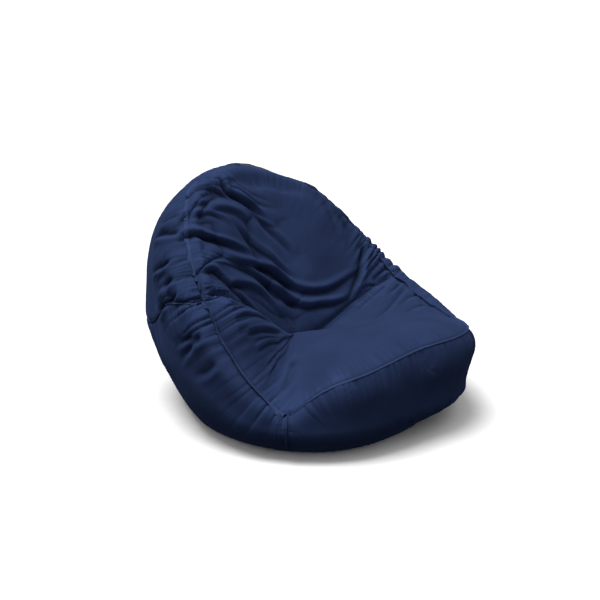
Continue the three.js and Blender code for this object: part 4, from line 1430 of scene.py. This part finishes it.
angles, downs = np.linspace(LABEL_FROM, LABEL_TO, 13), np.linspace(LABEL_TOP, LABEL_LOW, 17)
base, normals = wall_patch(angles, downs)
free_edge = np.linspace(0, 1, 17) ** 2 * (1 + 0.3 * np.sin(np.linspace(0, 3, 13)))[:, None]
lift = standing(base, normals, ["right_side"]).max() + LABEL_CLEAR + LABEL_CURL * free_edge
points = to_world(base + normals * lift[..., None])
satin = material("label_satin", woven((0.55, 0.54, 0.5), (0.8, 0.79, 0.75), 700, 0.6))
piece = closed_grid("blank_care_label", points, normals, LABEL_THICK, [satin])
attach(piece, ["care_label"])


# ---- floor, light and camera ----


def floor_surface(tree):
    grain = noise(tree, in_place(tree), 40, 2)
    return {
        "Base Color": ramp(tree, grain, [(0.3, (0.86, 0.855, 0.85)), (0.7, (0.88, 0.875, 0.87))]),
        "Roughness": 0.9,
    }


def backdrop_surface(tree):
    """Plain white, with a faint fall-off towards the top."""
    place = node(tree, "ShaderNodeTexCoord").outputs["Generated"]
    height = node(tree, "ShaderNodeSeparateXYZ", {"Vector": place}).outputs["Z"]
    return {
        "Base Color": (0, 0, 0, 1),
        "Emission Color": ramp(tree, height, [(0.5, (1, 1, 1)), (1.0, (0.97, 0.97, 0.97))]),
        "Emission Strength": 1.0,
    }


FLOOR_SIZE, BACKDROP_RADIUS = 120, 55
bpy.ops.mesh.primitive_plane_add(size=FLOOR_SIZE, location=(0, 0, 0))
floor = bpy.context.object
floor.name = "studio_floor"
floor.data.materials.append(material("pale_floor", floor_surface))
bpy.ops.mesh.primitive_uv_sphere_add(radius=BACKDROP_RADIUS, segments=64, ring_count=32)
backdrop = bpy.context.object
backdrop.name = "studio_backdrop"
backdrop.data.materials.append(material("white_backdrop", backdrop_surface))
for far_off in backdrop, floor:  # neither throws light back on the chair, as in a large dim studio
    far_off.visible_diffuse = far_off.visible_glossy = False
backdrop.visible_shadow = backdrop.visible_transmission = False

SUN_FROM, SUN_POWER, SUN_ANGLE = (-0.28, 0.06, 0.95), 2.75, 30
sun_data = bpy.data.lights.new("overhead_light", "SUN")
sun_data.energy, sun_data.angle = SUN_POWER, math.radians(SUN_ANGLE)
sun = bpy.data.objects.new("overhead_light", sun_data)
bpy.context.scene.collection.objects.link(sun)
sun.rotation_euler = Vector(SUN_FROM).to_track_quat("Z", "Y").to_euler()

SOFTBOX = (-0.34, -0.18, 0.92)  # the side that the soft light comes from
world = bpy.data.worlds.new("studio")
bpy.context.scene.world = world
world.use_nodes = True
sky = world.node_tree
direction = node(sky, "ShaderNodeTexCoord").outputs["Generated"]
towards = node(sky, "ShaderNodeVectorMath", {0: direction, 1: SOFTBOX}, operation="DOT_PRODUCT")
facing_it = mapped(sky, towards.outputs["Value"], (0, 1), (-0.4, 1))
SKY = [(0.0, (0.03, 0.03, 0.04)), (1.0, (1.3, 1.3, 1.3)), (0.45, (0.12, 0.12, 0.13))]
sky.links.new(ramp(sky, facing_it, SKY), sky.nodes["Background"].inputs["Color"])
bpy.context.scene.view_settings.view_transform = "Standard"

CAMERA_POSITION = Vector((-2.375, -2.377, 1.301)) + Vector(OFFSET)
CAMERA_TARGET = Vector((0.005, -0.005, 0.33)) + Vector(OFFSET)
CAMERA_LENS = 72.2
camera_data = bpy.data.cameras.new("camera")
camera_data.lens = CAMERA_LENS
camera = bpy.data.objects.new("camera", camera_data)
bpy.context.scene.collection.objects.link(camera)
camera.location = CAMERA_POSITION
camera.rotation_euler = (CAMERA_TARGET - CAMERA_POSITION).to_track_quat("-Z", "Y").to_euler()
bpy.context.scene.camera = camera

bpy.context.view_layer.update()
